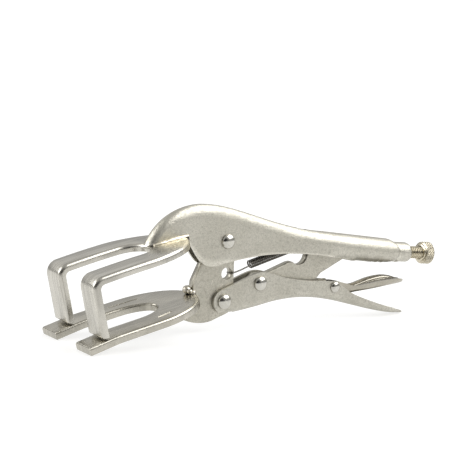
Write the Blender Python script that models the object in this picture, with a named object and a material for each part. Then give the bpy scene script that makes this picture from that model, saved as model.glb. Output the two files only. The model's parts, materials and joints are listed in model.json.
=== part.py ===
"""Locking welding-clamp pliers with U-shaped fork jaws.

The drawing below is in millimetres, in a side view whose origin is the jaw rivet: X runs back towards
the adjusting knob, Z up, and Y across the tool with the near side at -Y.  place() turns it into metres
and moves it so that the pliers stand on Z = 0 with their bounding box centred over the world origin.
"""
import math

import bmesh
import bpy
from mathutils import Matrix, Vector

MM = 0.001

# ---- overall sizes -------------------------------------------------------------------------------
PIVOT_HEIGHT = 47.1      # jaw rivet above the surface that the pliers stand on
JAW_REACH = 89.6         # jaw rivet to the tips of the lower fork
BODY_REACH = 122.8       # jaw rivet to the rear end of the neck
HANDLE_REACH = 119.0     # jaw rivet to the tip of the lower handle's tail

# ---- linkage -------------------------------------------------------------------------------------
HANDLE_PIVOT = (-0.8, -31.3)
TOGGLE_PIVOT = (21.2, -23.3)
RELEASE_PIVOT = (69.3, -28.2)
LINK_TIP_X = 80.6        # end of the toggle link, inside the tube
SCREW_SLOPE = -0.085     # fall of the adjusting screw's axis towards the knob
SCREW_HEIGHT = -9.363    # height of the screw's axis at the link tip
LINK_CLEARANCE = 2.6     # room for the opened linkage between link tip and screw tip

# ---- materials and fits --------------------------------------------------------------------------
SHEET = 1.6              # thickness of both handle pressings
LEVER_SHEET = 1.4
PLATE = 4.6              # thickness of the jaw plate and of the toggle link
FORK = 4.0               # thickness of the fork plates
SEAT = 0.3               # gap between two pieces that touch
SIDE_PLAY = 0.25         # gap between a plate and the sheet beside it
HOLE_PLAY = 0.25         # radial gap between a rivet and its hole
SCREW_PLAY = 0.4         # radial gap between the screw and the bore it slides in

# ---- rivets --------------------------------------------------------------------------------------
RIVET_R = 2.8
RIVET_HEAD_R = 3.95
RIVET_HEAD_H = 2.3
SMALL_RIVET_R = 2.0
SMALL_HEAD_R = 3.0
SMALL_HEAD_H = 1.7

# ---- upper handle --------------------------------------------------------------------------------
TUBE_HALF = 7.0          # half width of the rear tube
TUBE_RISE = 9.7          # crest above the screw axis where the tube starts
TUBE_ROOM = 0.46         # room below the screw where the tube ends
TAIL_START = 76.0        # where the lower handle's tail begins, behind the release rivet
TAIL_DRAWN = 43.0        # length for which the tail's curves are drawn
SHOULDER = 6.0           # length over which the tube narrows to the neck
NECK_LENGTH = 12.3
NECK_WALL = 1.65         # wall of the neck around the screw's bore
SHOULDER_BULGE = 3.0     # how much further back the shoulder lies on the sides than on top
CURL_START = 62.0        # where the walls begin to curl under
SLOT_END = 80.0          # rear end of the slot that the toggle link moves in
TAB_X = 52.0             # lanced tab that holds the return spring
TAB_WIDTH = 2.6
TAB_DEPTH = 6.2

# ---- forks ---------------------------------------------------------------------------------------
FORK_HALF = 25.9         # half of the forks' overall width
SLOT_HALF = 10.7         # half of the gap between the prongs
TONGUE_FRONT = -24.1     # rear end of the upper fork's tongue
TONGUE_HEIGHT = 4.1      # top of that tongue at its rear end
FORK_SLOPE = 0.2
LEG_REACH = 88.0         # jaw rivet to the front of the legs
LEG_FOOT = -39.9         # front edge of the bent legs' feet
LEG_LEAN = 13.0          # backward lean of the legs, in degrees
LOWER_ROOT = -17.5       # rear end of the lower fork
LOWER_ROOT_HEIGHT = -25.7
LOWER_SLOPE = 0.225

# ---- screw, knob and spring ----------------------------------------------------------------------
SCREW_R = 3.45
KNOB_R = 6.25
KNOB_GAP = 8.6           # neck to knob with the screw at rest
KNOB_LENGTH = 6.6
SPRING_HOLE = (1.2, -17.1)
SPRING_HOLE_R = 3.2
SPRING_R = 1.95          # mean radius of the coil
SPRING_WIRE_R = 0.4
SPRING_TURNS = 24
SPRING_GAP = 0.3         # gap between neighbouring turns
SPRING_LEAD = 13.0       # straight wire between the front hook and the coil
TAB_WIRE_HEIGHT = -3.3   # where the rear hook rests on the tab

# ---- sizes that follow ---------------------------------------------------------------------------
HEAD_HALF = PLATE / 2 + SIDE_PLAY + SHEET
NECK_BORE = SCREW_R + SCREW_PLAY
NECK_R = NECK_BORE + NECK_WALL
NECK_START = BODY_REACH - NECK_LENGTH
TUBE_END = NECK_START - SHOULDER
KNOB_FRONT = BODY_REACH + KNOB_GAP
BACK_X = KNOB_FRONT + KNOB_LENGTH * math.cos(math.atan(SCREW_SLOPE))
CENTRE_X = (BACK_X - JAW_REACH) / 2
ARC_STEPS = 5
ROUND_STEPS = 24


# ---- drawing helpers -----------------------------------------------------------------------------
def place(x, y, z):
    """World position in metres of a drawing point."""
    return Vector(((x - CENTRE_X) * MM, y * MM, (z + PIVOT_HEIGHT) * MM))


def bezier(p0, p1, p2, p3, count):
    """Points of a cubic curve in the side view, both ends included."""
    points = []
    for i in range(count + 1):
        t = i / count
        a, b, c, d = (1 - t) ** 3, 3 * t * (1 - t) ** 2, 3 * t * t * (1 - t), t ** 3
        points.append(tuple(a * p + b * q + c * r + d * s for p, q, r, s in zip(p0, p1, p2, p3)))
    return points


def arc(centre, radius, start, end, count):
    """Points of a circular arc, angles in degrees, both ends included."""
    points = []
    for i in range(count + 1):
        angle = math.radians(start + (end - start) * i / count)
        points.append((centre[0] + radius * math.cos(angle), centre[1] + radius * math.sin(angle)))
    return points


def smooth_through(points, steps):
    """Points of a smooth curve that passes through the given ones."""
    out = []
    last = len(points) - 1
    for i in range(last):
        before = points[max(i - 1, 0)]
        start, end = points[i], points[i + 1]
        after = points[min(i + 2, last)]
        for k in range(steps):
            t = k / steps
            out.append(tuple(
                0.5 * (2 * b + (c - a) * t + (2 * a - 5 * b + 4 * c - d) * t * t
                       + (3 * b - a - 3 * c + d) * t ** 3)
                for a, b, c, d in zip(before, start, end, after)))
    out.append(tuple(points[-1]))
    return out


def ease(x, start, end):
    """0 before start, 1 after end, and a smooth step between."""
    t = min(max((x - start) / (end - start), 0.0), 1.0)
    return t * t * (3 - 2 * t)


def on_curve(points, x):
    """Height of a curve, given as points with rising x, at x."""
    for (x0, z0), (x1, z1) in zip(points, points[1:]):
        if x <= x1:
            break
    return z0 + (z1 - z0) * (x - x0) / (x1 - x0)


def axis_height(x):
    """Height of the adjusting screw's axis."""
    return SCREW_HEIGHT + SCREW_SLOPE * (x - LINK_TIP_X)


def material(name, colour, roughness):
    result = bpy.data.materials.new(name)
    result.use_nodes = True
    shader = result.node_tree.nodes["Principled BSDF"]
    shader.inputs["Base Color"].default_value = (*colour, 1.0)
    shader.inputs["Roughness"].default_value = roughness
    shader.inputs["Metallic"].default_value = 1.0
    return result


def make_object(name, mesh_data, pivot, parent, colour, roughness):
    """Object whose mesh is drawn in the side view and whose origin is on the pivot."""
    origin = place(pivot[0], 0, pivot[1])
    for vert in mesh_data.verts:
        vert.co = place(*vert.co) - origin
    bmesh.ops.remove_doubles(mesh_data, verts=mesh_data.verts, dist=1e-6)
    bmesh.ops.dissolve_degenerate(mesh_data, dist=1e-6, edges=mesh_data.edges)
    bmesh.ops.recalc_face_normals(mesh_data, faces=mesh_data.faces)
    mesh = bpy.data.meshes.new(name)
    mesh_data.to_mesh(mesh)
    mesh_data.free()
    mesh.shade_smooth()
    mesh.set_sharp_from_angle(angle=math.radians(35))
    obj = bpy.data.objects.new(name, mesh)
    bpy.context.scene.collection.objects.link(obj)
    obj.matrix_world = Matrix.Translation(origin)
    if parent is not None:
        obj.parent = parent
        obj.location = origin - parent_origin(parent)
    if colour is not None:
        mesh.materials.append(material(name + "_metal", colour, roughness))
    return obj


def parent_origin(parent):
    """World position of an empty, summed up its chain of parents."""
    total = Vector((0, 0, 0))
    while parent is not None:
        total += parent.location
        parent = parent.parent
    return total


def pivot_empty(name, pivot, parent):
    empty = bpy.data.objects.new(name, None)
    bpy.context.scene.collection.objects.link(empty)
    empty.location = place(pivot[0], 0, pivot[1])
    if parent is not None:
        empty.location -= parent_origin(parent)
        empty.parent = parent
    return empty


def prism(outline, low, high):
    """Side-view outline extruded from y = low to y = high."""
    bm = bmesh.new()
    near = [bm.verts.new((x, low, z)) for x, z in outline]
    far = [bm.verts.new((x, high, z)) for x, z in outline]
    bm.faces.new(near)
    bm.faces.new(reversed(far))
    for i in range(len(outline)):
        j = (i + 1) % len(outline)
        bm.faces.new((near[j], near[i], far[i], far[j]))
    return bm


def loft(rings):
    """Skin over rings with equal numbers of points, closed with a face at each end."""
    bm = bmesh.new()
    rows = [[bm.verts.new(point) for point in ring] for ring in rings]
    count = len(rings[0])
    for row, following in zip(rows, rows[1:]):
        for i in range(count):
            j = (i + 1) % count
            bm.faces.new((row[i], row[j], following[j], following[i]))
    bm.faces.new(reversed(rows[0]))
    bm.faces.new(rows[-1])
    return bm


def turned(profile, centre, direction, count=ROUND_STEPS):
    """Solid of revolution: profile is (distance along the axis, radius), its ends closed."""
    along = Vector(direction).normalized()
    side = along.orthogonal().normalized()
    other = along.cross(side)
    rings = []
    for distance, radius in profile:
        base = Vector(centre) + along * distance
        ring = []
        for i in range(count):
            angle = 2 * math.pi * (i + 0.5) / count
            ring.append(base + (side * math.cos(angle) + other * math.sin(angle)) * radius)
        rings.append(ring)
    return loft(rings)


def boolean(obj, cutter, operation):
    """Cut, join or trim obj with a hidden guide object."""
    cutter.hide_render = True
    cutter.display_type = 'WIRE'
    modifier = obj.modifiers.new(operation.lower() + "_" + cutter.name, 'BOOLEAN')
    modifier.operation = operation
    modifier.object = cutter
    modifier.solver = 'EXACT'


def cut_hole(obj, pivot, radius, parent):
    """Round hole through obj, across the tool."""
    half = TUBE_HALF * 2
    bm = turned([(-half, radius), (half, radius)], (pivot[0], 0, pivot[1]), (0, 1, 0))
    boolean(obj, make_object(obj.name + "_hole", bm, pivot, parent, None, 0), 'DIFFERENCE')


def bake(obj):
    """Turn the cuts so far into the object's own mesh, shaded smooth up to its sharp edges."""
    evaluated = obj.evaluated_get(bpy.context.evaluated_depsgraph_get())
    mesh = bpy.data.meshes.new_from_object(evaluated)
    mesh.shade_smooth()
    mesh.set_sharp_from_angle(angle=math.radians(35))
    obj.modifiers.clear()
    obj.data = mesh


def soften(obj, width, steps=1):
    """Small bevel along the sharp edges."""
    modifier = obj.modifiers.new("edge_break", 'BEVEL')
    modifier.width = width * MM
    modifier.segments = steps
    modifier.limit_method = 'ANGLE'
    modifier.angle_limit = math.radians(50)


# ---- the upper handle ----------------------------------------------------------------------------
HEAD_TOP = (-16.0, 19.6)
NOSE_X = -46.8


def tongue_top(x):
    """Top face of the upper fork's tongue."""
    return TONGUE_HEIGHT + FORK_SLOPE * (x - TONGUE_FRONT)


TONGUE_CORNER = (TONGUE_FRONT + SEAT, tongue_top(TONGUE_FRONT + SEAT) + SEAT)


def crest_curve():
    """Top line of the upper handle, from the nose to the tube's shoulder."""
    nose = bezier((NOSE_X, tongue_top(NOSE_X) + SEAT), (-43.0, 8.8), (-33.0, 19.2), HEAD_TOP, 9)
    tube_front = (CURL_START, axis_height(CURL_START) + TUBE_RISE)
    back = bezier(HEAD_TOP, (6.0, 19.6), (30.0, 5.2), tube_front, 11)
    return nose, back


def half_width(x):
    """Half width of the upper handle."""
    wide = HEAD_HALF + (TUBE_HALF - HEAD_HALF) * ease(x, 32.0, 78.0)
    return wide + (NECK_R - wide) * ease(x, TUBE_END, NECK_START)


def sheet_at(x):
    """Wall thickness of the tube, which thickens slightly as it is swaged to the neck."""
    return SHEET + (NECK_R - NECK_BORE - SHEET) * ease(x, TUBE_END, NECK_START)


def crest_of_tube(x):
    """Top of the rear tube and neck."""
    tube = axis_height(CURL_START) + TUBE_RISE - 0.14 * (x - CURL_START)
    neck = axis_height(x) + NECK_R
    return tube + (neck - tube) * ease(x, TUBE_END, NECK_START)


def keel_of_tube(x):
    """Underside of the rear tube and neck."""
    line = [(CURL_START, -10.8)]
    for station, room in ((SLOT_END, TUBE_ROOM - 0.62), (95.0, TUBE_ROOM + 0.2), (NECK_START + 1, TUBE_ROOM)):
        line.append((station, axis_height(station) - NECK_BORE - SHEET - room))
    tube = on_curve(line, min(x, NECK_START))
    neck = axis_height(x) - NECK_R
    return tube + (neck - tube) * ease(x, TUBE_END, NECK_START)


def curl_of_walls(x):
    """How far the walls are curled under, from 0 for straight walls to 1 for a closed tube."""
    return 0.5 * ease(x, CURL_START, CURL_START + 10) + 0.46 * ease(x, SLOT_END, SLOT_END + 8)


def body_section(crest, inward, edge, half, curl, sheet=SHEET):
    """Closed ring of the pressed channel: round top, straight walls, edges curled under."""
    crest = Vector(crest)
    inward = Vector(inward)
    edge = Vector(edge)
    shoulder = crest + inward * half
    sweep = curl * math.pi / 2
    drop = edge - shoulder
    arc_length = half * math.pi / 2
    if sweep > 0:
        arc_length = min(arc_length, (drop.length - 0.05) * sweep / math.sin(sweep))

    def path(inset):
        points = []
        for i in range(ARC_STEPS + 1):
            angle = math.pi / 2 * i / ARC_STEPS
            base = crest + inward * (half - (half - inset) * math.cos(angle))
            points.append((base, (half - inset) * math.sin(angle)))
        if sweep < 1e-3:
            for t in (0.35, 0.6, 0.8, 0.9, 1.0):
                points.append((shoulder + drop * t, half - inset))
            return points
        radius = arc_length / sweep
        straight = max(drop.length - radius * math.sin(sweep), 0.05)
        way = drop.normalized()
        for i in range(5):
            angle = sweep * i / 4
            depth = straight + (radius - inset) * math.sin(angle)
            points.append((shoulder + way * depth, half - radius + (radius - inset) * math.cos(angle)))
        return points

    outer = path(0.0)
    inner = path(sheet)
    ring = [(p.x, y, p.y) for p, y in reversed(outer)]
    ring += [(p.x, -y, p.y) for p, y in outer[1:]]
    ring += [(p.x, -y, p.y) for p, y in reversed(inner)]
    ring += [(p.x, y, p.y) for p, y in inner[1:]]
    return ring


def lower_edge():
    """Lower edge of the channel walls behind the tongue, from the notch to the tube."""
    front = bezier(TONGUE_CORNER, (-23.5, 2.5), (-21.5, -3.0), (-16.4, -9.0), 3)
    corner = bezier((-16.4, -9.0), (-13.6, -12.6), (-9.5, -13.0), (-5.0, -12.2), 4)
    under = bezier((-5.0, -12.2), (14.0, -8.0), (36.0, -6.6), (CURL_START, -10.8), 10)
    return front[1:], corner[1:], under[1:]


def make_upper_handle():
    nose, back = crest_curve()
    front, corner, under = lower_edge()
    crests = nose[:-1] + back
    edges = [TONGUE_CORNER] * 7 + front + corner
    lean_from = crests[len(edges) - 1][0]
    lean = lean_from - corner[-1][0]
    for crest in crests[len(edges):]:
        x = crest[0] - lean * (1 - ease(crest[0], lean_from, CURL_START))
        edges.append((x, on_curve([corner[-1]] + under, x)))
    rings = []
    for i, crest in enumerate(crests):
        before = Vector(crests[max(i - 1, 0)])
        after = Vector(crests[min(i + 1, len(crests) - 1)])
        along = (after - before).normalized()
        if i == 0:
            along = Vector((-FORK_SLOPE, 1.0)).normalized()
        inward = Vector((along.y, -along.x))
        half = half_width(crest[0])
        shoulder = Vector(crest) + inward * half
        if shoulder.x < TONGUE_FRONT:
            inward.y += max(tongue_top(shoulder.x) + SEAT - shoulder.y, 0.0) / half
        rings.append(body_section(crest, inward, edges[i], half, 0.0))
    stations = [64.5, 67, 70, 74, 78, SLOT_END + 1, SLOT_END + 3.5, SLOT_END + 6, SLOT_END + 9,
                97.0, TUBE_END - 0.5]
    shoulder = NECK_START - TUBE_END
    stations += [TUBE_END + shoulder * t for t in (0.2, 0.4, 0.6, 0.8, 1.0)]
    stations += [(NECK_START + BODY_REACH) / 2, BODY_REACH - 2.2]
    for x in stations:
        ring = body_section((x, crest_of_tube(x)), (0, -1), (x, keel_of_tube(x)), half_width(x),
                            curl_of_walls(x), sheet_at(x))
        bulge = SHOULDER_BULGE * ease(x, TUBE_END, NECK_START) * (x <= NECK_START)
        rings.append([(px + bulge * (y / half_width(x)) ** 2, y, z) for px, y, z in ring])
    for back_off, inset in ((1.4, 0.25), (0.7, 0.7), (0.25, 1.05), (0.0, 1.35)):
        x = BODY_REACH - back_off
        rings.append(body_section((x, crest_of_tube(x) - inset), (0, -1), (x, keel_of_tube(x) + inset),
                                  NECK_R - inset, curl_of_walls(x), NECK_R - inset - NECK_BORE))
    obj = make_object("upper_handle", loft(rings), (0, 0), None, (0.62, 0.60, 0.55), 0.34)
    cut_hole(obj, (0, 0), RIVET_R + HOLE_PLAY, None)
    add_spring_tab(obj, back)
    bake(obj)
    return obj


def add_spring_tab(obj, crest):
    """Tongue lanced out of the web and bent down, in front of the hole that it leaves."""
    top = on_curve(crest, TAB_X)
    half = TAB_WIDTH / 2
    window = [(TAB_X - TAB_DEPTH, top - 4.0), (TAB_X - 0.8, top - 4.0), (TAB_X - 0.8, top + 5.0),
              (TAB_X - TAB_DEPTH, top + 5.0)]
    hole = make_object("spring_window", prism(window, -half, half), (0, 0), None, None, 0)
    boolean(obj, hole, 'DIFFERENCE')
    thick = SHEET * 0.8
    tab = [(TAB_X - 0.2, top - SHEET * 0.7), (TAB_X - 0.2, top - SHEET - TAB_DEPTH),
           (TAB_X - 0.2 + thick, top - SHEET - TAB_DEPTH), (TAB_X - 0.2 + thick, top - SHEET * 0.7)]
    piece = make_object("spring_tab", prism(tab, -half + 0.2, half - 0.2), (0, 0), None, None, 0)
    boolean(obj, piece, 'UNION')


# ---- the forks -----------------------------------------------------------------------------------
def fork_blank(root_x, root_half_length, slot_front, slot_round, tip_x):
    """Plan outline of a fork: rounded tongue, straight prongs and a round-ended slot."""
    points = []
    centre = root_x - root_half_length
    for i in range(19):
        angle = math.radians(90 - 10 * i)
        points.append((centre + root_half_length * math.cos(angle), FORK_HALF * math.sin(angle)))
    points.append((tip_x, -FORK_HALF))
    points.append((tip_x, -SLOT_HALF))
    for i in range(13):
        angle = math.radians(-90 + 15 * i)
        points.append((slot_front - slot_round + slot_round * math.cos(angle),
                       SLOT_HALF * math.sin(angle)))
    points.append((tip_x, SLOT_HALF))
    points.append((tip_x, FORK_HALF))
    return points


def bent_plate(outline, path, folds):
    """Flat blank, divided at the folds and bent: path(s) gives the top face's place and direction."""
    bm = bmesh.new()
    top = [bm.verts.new((x, y, 0)) for x, y in outline]
    face = bm.faces.new(top)
    made = bmesh.ops.extrude_face_region(bm, geom=[face])
    lower = [item for item in made["geom"] if isinstance(item, bmesh.types.BMVert)]
    bmesh.ops.translate(bm, verts=lower, vec=(0, 0, -FORK))
    for fold in folds:
        geometry = bm.verts[:] + bm.edges[:] + bm.faces[:]
        bmesh.ops.bisect_plane(bm, geom=geometry, dist=1e-5, plane_co=(fold, 0, 0), plane_no=(1, 0, 0))
    for vert in bm.verts:
        x, z, angle = path(vert.co.x)
        depth = vert.co.z
        vert.co = (x - depth * math.sin(angle), vert.co.y, z + depth * math.cos(angle))
    return bm


def bend_path(pieces):
    """Path of the top face from its root: pieces are (length, turn in degrees) after one another.

    The path starts at pieces[0] = (x, z, slope angle) and runs towards -X.
    """
    start_x, start_z, start_angle = pieces[0]

    def path(s):
        x, z, angle = start_x, start_z, start_angle
        left = start_x - s
        for length, turn in pieces[1:]:
            step = min(left, length)
            turned_by = math.radians(turn) * step / length
            middle = angle + turned_by / 2
            chord = step
            if abs(turned_by) > 1e-6:
                chord = step * math.sin(turned_by / 2) / (turned_by / 2)
            x -= chord * math.cos(middle)
            z -= chord * math.sin(middle)
            angle += turned_by
            left -= step
            if left <= 0:
                break
        return x, z, angle

    return path


def make_upper_fork():
    slope = math.atan(FORK_SLOPE)
    droop_angle = 4.0
    bend_radius = 6.5
    bend_angle = 90.0 + LEG_LEAN - droop_angle - math.degrees(slope)
    bend_length = bend_radius * math.radians(bend_angle)
    plain = 25.0
    droop = LEG_REACH + TONGUE_FRONT - plain - bend_radius + 3.4
    pieces = [(TONGUE_FRONT, TONGUE_HEIGHT, slope), (plain, 0.0), (droop, droop_angle),
              (bend_length, bend_angle), (2 * PIVOT_HEIGHT, 0.0)]
    path = bend_path(pieces)
    fold_start = TONGUE_FRONT - plain - droop
    fold_end = fold_start - bend_length
    leg_top = path(fold_end)
    leg = (leg_top[1] - LEG_FOOT) / math.sin(leg_top[2])
    outline = fork_blank(TONGUE_FRONT, 36.0, -45.5, 11.0, fold_end - leg)
    folds = [TONGUE_FRONT - plain]
    folds += [TONGUE_FRONT - plain - droop * t for t in (0.5, 1.0)]
    folds += [fold_start - bend_length * i / 8 for i in range(1, 9)]
    bm = bent_plate(outline, path, folds)
    obj = make_object("upper_jaw_fork", bm, (0, 0), None, (0.60, 0.58, 0.54), 0.36)
    soften(obj, 0.45)
    bake(obj)
    return obj


def lower_fork_top(x):
    """Top face of the lower fork near its root."""
    return LOWER_ROOT_HEIGHT + LOWER_SLOPE * (x - LOWER_ROOT)


def lower_fork_path():
    slope = math.atan(LOWER_SLOPE)
    plain = 56.5
    pieces = [(LOWER_ROOT, LOWER_ROOT_HEIGHT, slope), (plain, 0.0), (3.0, 4.5), (2 * JAW_REACH, 0.0)]
    return bend_path(pieces), plain


def make_lower_fork(parent):
    path, plain = lower_fork_path()
    tip = LOWER_ROOT - plain - 3.0
    while path(tip)[0] > -JAW_REACH:
        tip -= 0.1
    outline = fork_blank(LOWER_ROOT, 32.5, -40.0, 16.0, tip)
    bm = bent_plate(outline, path, [LOWER_ROOT - plain, LOWER_ROOT - plain - 1.5, LOWER_ROOT - plain - 3])
    obj = make_object("lower_jaw_fork", bm, (0, 0), parent, (0.60, 0.58, 0.54), 0.38)
    soften(obj, 0.45)
    bake(obj)
    return obj


# ---- the lower jaw -------------------------------------------------------------------------------
def make_jaw_plate(parent):
    notch_back = LOWER_ROOT + SEAT
    notch_top = lower_fork_top(notch_back) + SEAT
    notch_lean = FORK * math.sin(math.atan(LOWER_SLOPE))
    px, pz = HANDLE_PIVOT
    outline = arc((0, 0), 9.0, 175, 20, 8)
    outline += [(8.4, -2.0), (5.5, -9.0), (5.5, -21.0)]
    outline += arc((px, pz), 7.4, 20, -70, 6)
    outline += bezier((-4.5, -40.4), (-10.0, -43.0), (-19.0, -42.6), (-27.0, -38.0), 5)
    below = notch_top - FORK * math.sqrt(1 + LOWER_SLOPE ** 2) - 2 * SEAT
    outline += [(notch_back - 9.0, below - LOWER_SLOPE * 9.0),
                (notch_back + notch_lean, below + LOWER_SLOPE * notch_lean),
                (notch_back, notch_top),
                (notch_back - 1.8, notch_top - LOWER_SLOPE * 1.8),
                (-18.4, -20.0), (-14.3, -11.5), (-11.0, -5.0)]
    obj = make_object("lower_jaw_plate", prism(outline, -PLATE / 2, PLATE / 2), (0, 0), parent,
                      (0.60, 0.58, 0.54), 0.36)
    cut_hole(obj, (0, 0), RIVET_R + HOLE_PLAY, parent)
    cut_hole(obj, HANDLE_PIVOT, RIVET_R + HOLE_PLAY, parent)
    cut_hole(obj, SPRING_HOLE, SPRING_HOLE_R, parent)
    soften(obj, 0.3)
    bake(obj)
    return obj


# ---- the lower handle ----------------------------------------------------------------------------
def on_tail(x):
    """Place along the lower handle, whose tail is as long as the reach leaves it."""
    return x + max(x - TAIL_START, 0.0) * ((HANDLE_REACH - TAIL_START) / TAIL_DRAWN - 1)


def handle_half(x):
    """Half width of the lower handle."""
    half = HEAD_HALF + 1.1 * ease(x, 30.0, 58.0) + 1.2 * ease(x, 75.0, 95.0)
    return half - 3.2 * ease(x, HANDLE_REACH - 9, HANDLE_REACH + 3)


def handle_keel(x):
    """Underside of the lower handle."""
    floor = -PIVOT_HEIGHT
    line = [(-8.0, -38.4), (6.0, -38.0), (20.0, -36.1), (33.0, -33.9), (46.0, -33.1), (58.0, -33.9),
            (70.0, -36.2), (82.0, -39.3), (94.0, -42.5), (106.0, -45.2), (TAIL_START + TAIL_DRAWN, floor)]
    line = [(on_tail(place_x), height) for place_x, height in line]
    return on_curve(smooth_through(line, 4), x)


def handle_section(x):
    """Open-topped channel ring, its walls left tall for the side outline to trim."""
    half = handle_half(x)
    keel = handle_keel(x)
    radius = 3.0
    rim = max(keel + 30.0, -10.0)

    def path(inset):
        points = [(0.0, keel + inset)]
        for i in range(4):
            angle = math.pi / 2 * i / 3
            points.append((half - radius + (radius - inset) * math.sin(angle),
                           keel + radius - (radius - inset) * math.cos(angle)))
        points.append((half - inset, rim))
        return points

    outer = path(0.0)
    inner = path(SHEET)
    ring = [(x, y, z) for y, z in reversed(outer)]
    ring += [(x, -y, z) for y, z in outer[1:]]
    ring += [(x, -y, z) for y, z in reversed(inner)]
    ring += [(x, y, z) for y, z in inner[1:]]
    return ring


def handle_outline():
    """Side outline of the lower handle: round ear, hump over the toggle rivet, tapered tail."""
    px, pz = HANDLE_PIVOT
    ear = 6.4
    tip = -PIVOT_HEIGHT
    outline = arc((px, pz), ear, 260, 110, 12)
    top = [(5.0, -22.6), (17.0, -18.3), (23.2, -17.5), (29.5, -18.8), (38.0, -21.4), (51.0, -23.6),
           (62.0, -24.6), (69.0, -25.5), (75.0, -28.5), (82.0, -32.9), (94.0, -37.6), (106.0, -41.6),
           (TAIL_START + TAIL_DRAWN - 2.0, tip + 2.3)]
    outline += smooth_through([(on_tail(x), z) for x, z in top], 2)
    outline += [(HANDLE_REACH, tip + 1.2), (HANDLE_REACH, tip - 3), (40.0, tip - 3), (7.0, -45.0)]
    outline += [(6.4, -37.0), (3.0, pz - ear + 0.3)]
    return outline


def make_lower_handle(parent):
    stations = [-8.5, 0.0, 6.0, 13.0, 20.0, 27.0, 33.0, 40.0, 46.0, 52.0, 58.0, 64.0, 70.0, 76.0, 82.0,
                88.0, 94.0, 100.0, 106.0, 110.0, 114.0, 117.0, TAIL_START + TAIL_DRAWN]
    shell = loft([handle_section(on_tail(x)) for x in stations])
    obj = make_object("lower_handle", shell, HANDLE_PIVOT, parent, (0.62, 0.60, 0.55), 0.34)
    wide = TUBE_HALF * 2
    trim = make_object("handle_outline", prism(handle_outline(), -wide, wide), HANDLE_PIVOT, parent,
                       None, 0)
    boolean(obj, trim, 'INTERSECT')
    inside = HEAD_HALF - SHEET
    slot = [(-20.0, -50.0), (6.6, -50.0), (6.6, -25.0), (-20.0, -25.0)]
    gap = make_object("handle_front_slot", prism(slot, -inside, inside), HANDLE_PIVOT, parent, None, 0)
    boolean(obj, gap, 'DIFFERENCE')
    cut_hole(obj, HANDLE_PIVOT, RIVET_R + HOLE_PLAY, parent)
    cut_hole(obj, TOGGLE_PIVOT, RIVET_R + HOLE_PLAY, parent)
    cut_hole(obj, RELEASE_PIVOT, SMALL_RIVET_R + HOLE_PLAY, parent)
    bake(obj)
    return obj


# ---- toggle link and release lever ---------------------------------------------------------------
def make_toggle_link(parent):
    tx, tz = TOGGLE_PIVOT
    tip = (LINK_TIP_X - 4.0, axis_height(LINK_TIP_X) + 0.2)
    outline = arc((tx, tz), 5.6, 250, 115, 8)
    outline += [(27.0, -18.2), (40.4, -13.6), (42.6, -13.4)]
    outline += arc((46.9, -10.4), 4.9, 225, 350, 7)
    outline += [(53.0, -8.6), (60.0, -7.6)]
    outline += arc(tip, 4.0, 100, -80, 8)
    outline += [(66.1, -18.4), (61.4, -20.6), (58.3, -23.8), (55.0, -25.6), (44.0, -26.6)]
    outline += [(30.0, -28.6)]
    obj = make_object("toggle_link", prism(outline, -PLATE / 2, PLATE / 2), TOGGLE_PIVOT, parent,
                      (0.60, 0.58, 0.53), 0.36)
    cut_hole(obj, TOGGLE_PIVOT, RIVET_R + HOLE_PLAY, parent)
    soften(obj, 0.3)
    bake(obj)
    return obj


def lever_section(x, half, keel, rim, radius):
    """Open-topped channel ring of the release lever."""
    def path(inset):
        points = [(0.0, keel + inset)]
        for i in range(4):
            angle = math.pi / 2 * i / 3
            points.append((half - radius + max(radius - inset, 0.1) * math.sin(angle),
                           keel + radius - max(radius - inset, 0.1) * math.cos(angle)))
        points.append((half - inset, rim))
        return points

    outer = path(0.0)
    inner = path(LEVER_SHEET)
    ring = [(x, y, z) for y, z in reversed(outer)]
    ring += [(x, -y, z) for y, z in outer[1:]]
    ring += [(x, -y, z) for y, z in reversed(inner)]
    ring += [(x, y, z) for y, z in inner[1:]]
    return ring


def make_release_lever(parent):
    narrow = HEAD_HALF + 1.1 - SHEET - SIDE_PLAY
    stations = [(57.0, narrow, -31.4, -29.0, 2.2), (62.0, narrow, -32.2, -27.3, 2.2),
                (69.3, narrow, -33.0, -25.6, 2.2), (76.0, narrow, -33.3, -26.6, 2.2),
                (82.0, narrow + 0.1, -33.0, -28.5, 2.2), (86.0, narrow + 0.5, -32.6, -28.9, 2.6),
                (92.0, 5.2, -31.9, -28.0, 3.0), (98.0, 6.5, -31.1, -27.0, 3.4),
                (104.0, 7.1, -30.3, -26.3, 3.6), (110.0, 7.0, -29.7, -26.0, 3.6),
                (114.5, 6.0, -29.2, -26.5, 2.6), (117.2, 4.2, -29.1, -27.4, 1.65),
                (118.4, 2.6, -29.1, -27.5, 1.55)]
    obj = make_object("release_lever", loft([lever_section(*s) for s in stations]), RELEASE_PIVOT,
                      parent, (0.62, 0.60, 0.55), 0.3)
    cut_hole(obj, RELEASE_PIVOT, SMALL_RIVET_R + HOLE_PLAY, parent)
    bake(obj)
    return obj


# ---- rivets --------------------------------------------------------------------------------------
def make_rivet(name, pivot, stack_half, shank, head_r, head_h, parent):
    """Rivet across the tool with a dome head on each side."""
    base = stack_half + SEAT
    half = [(base, shank), (base, head_r)]
    for i in range(1, 5):
        angle = math.pi / 2 * i / 5
        half.append((base + head_h * math.sin(angle), head_r * math.cos(angle)))
    half.append((base + head_h, head_r * 0.06))
    profile = [(-d, r) for d, r in reversed(half)] + half
    bm = turned(profile, (pivot[0], 0, pivot[1]), (0, 1, 0))
    return make_object(name, bm, pivot, parent, (0.72, 0.70, 0.66), 0.16)


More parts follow.
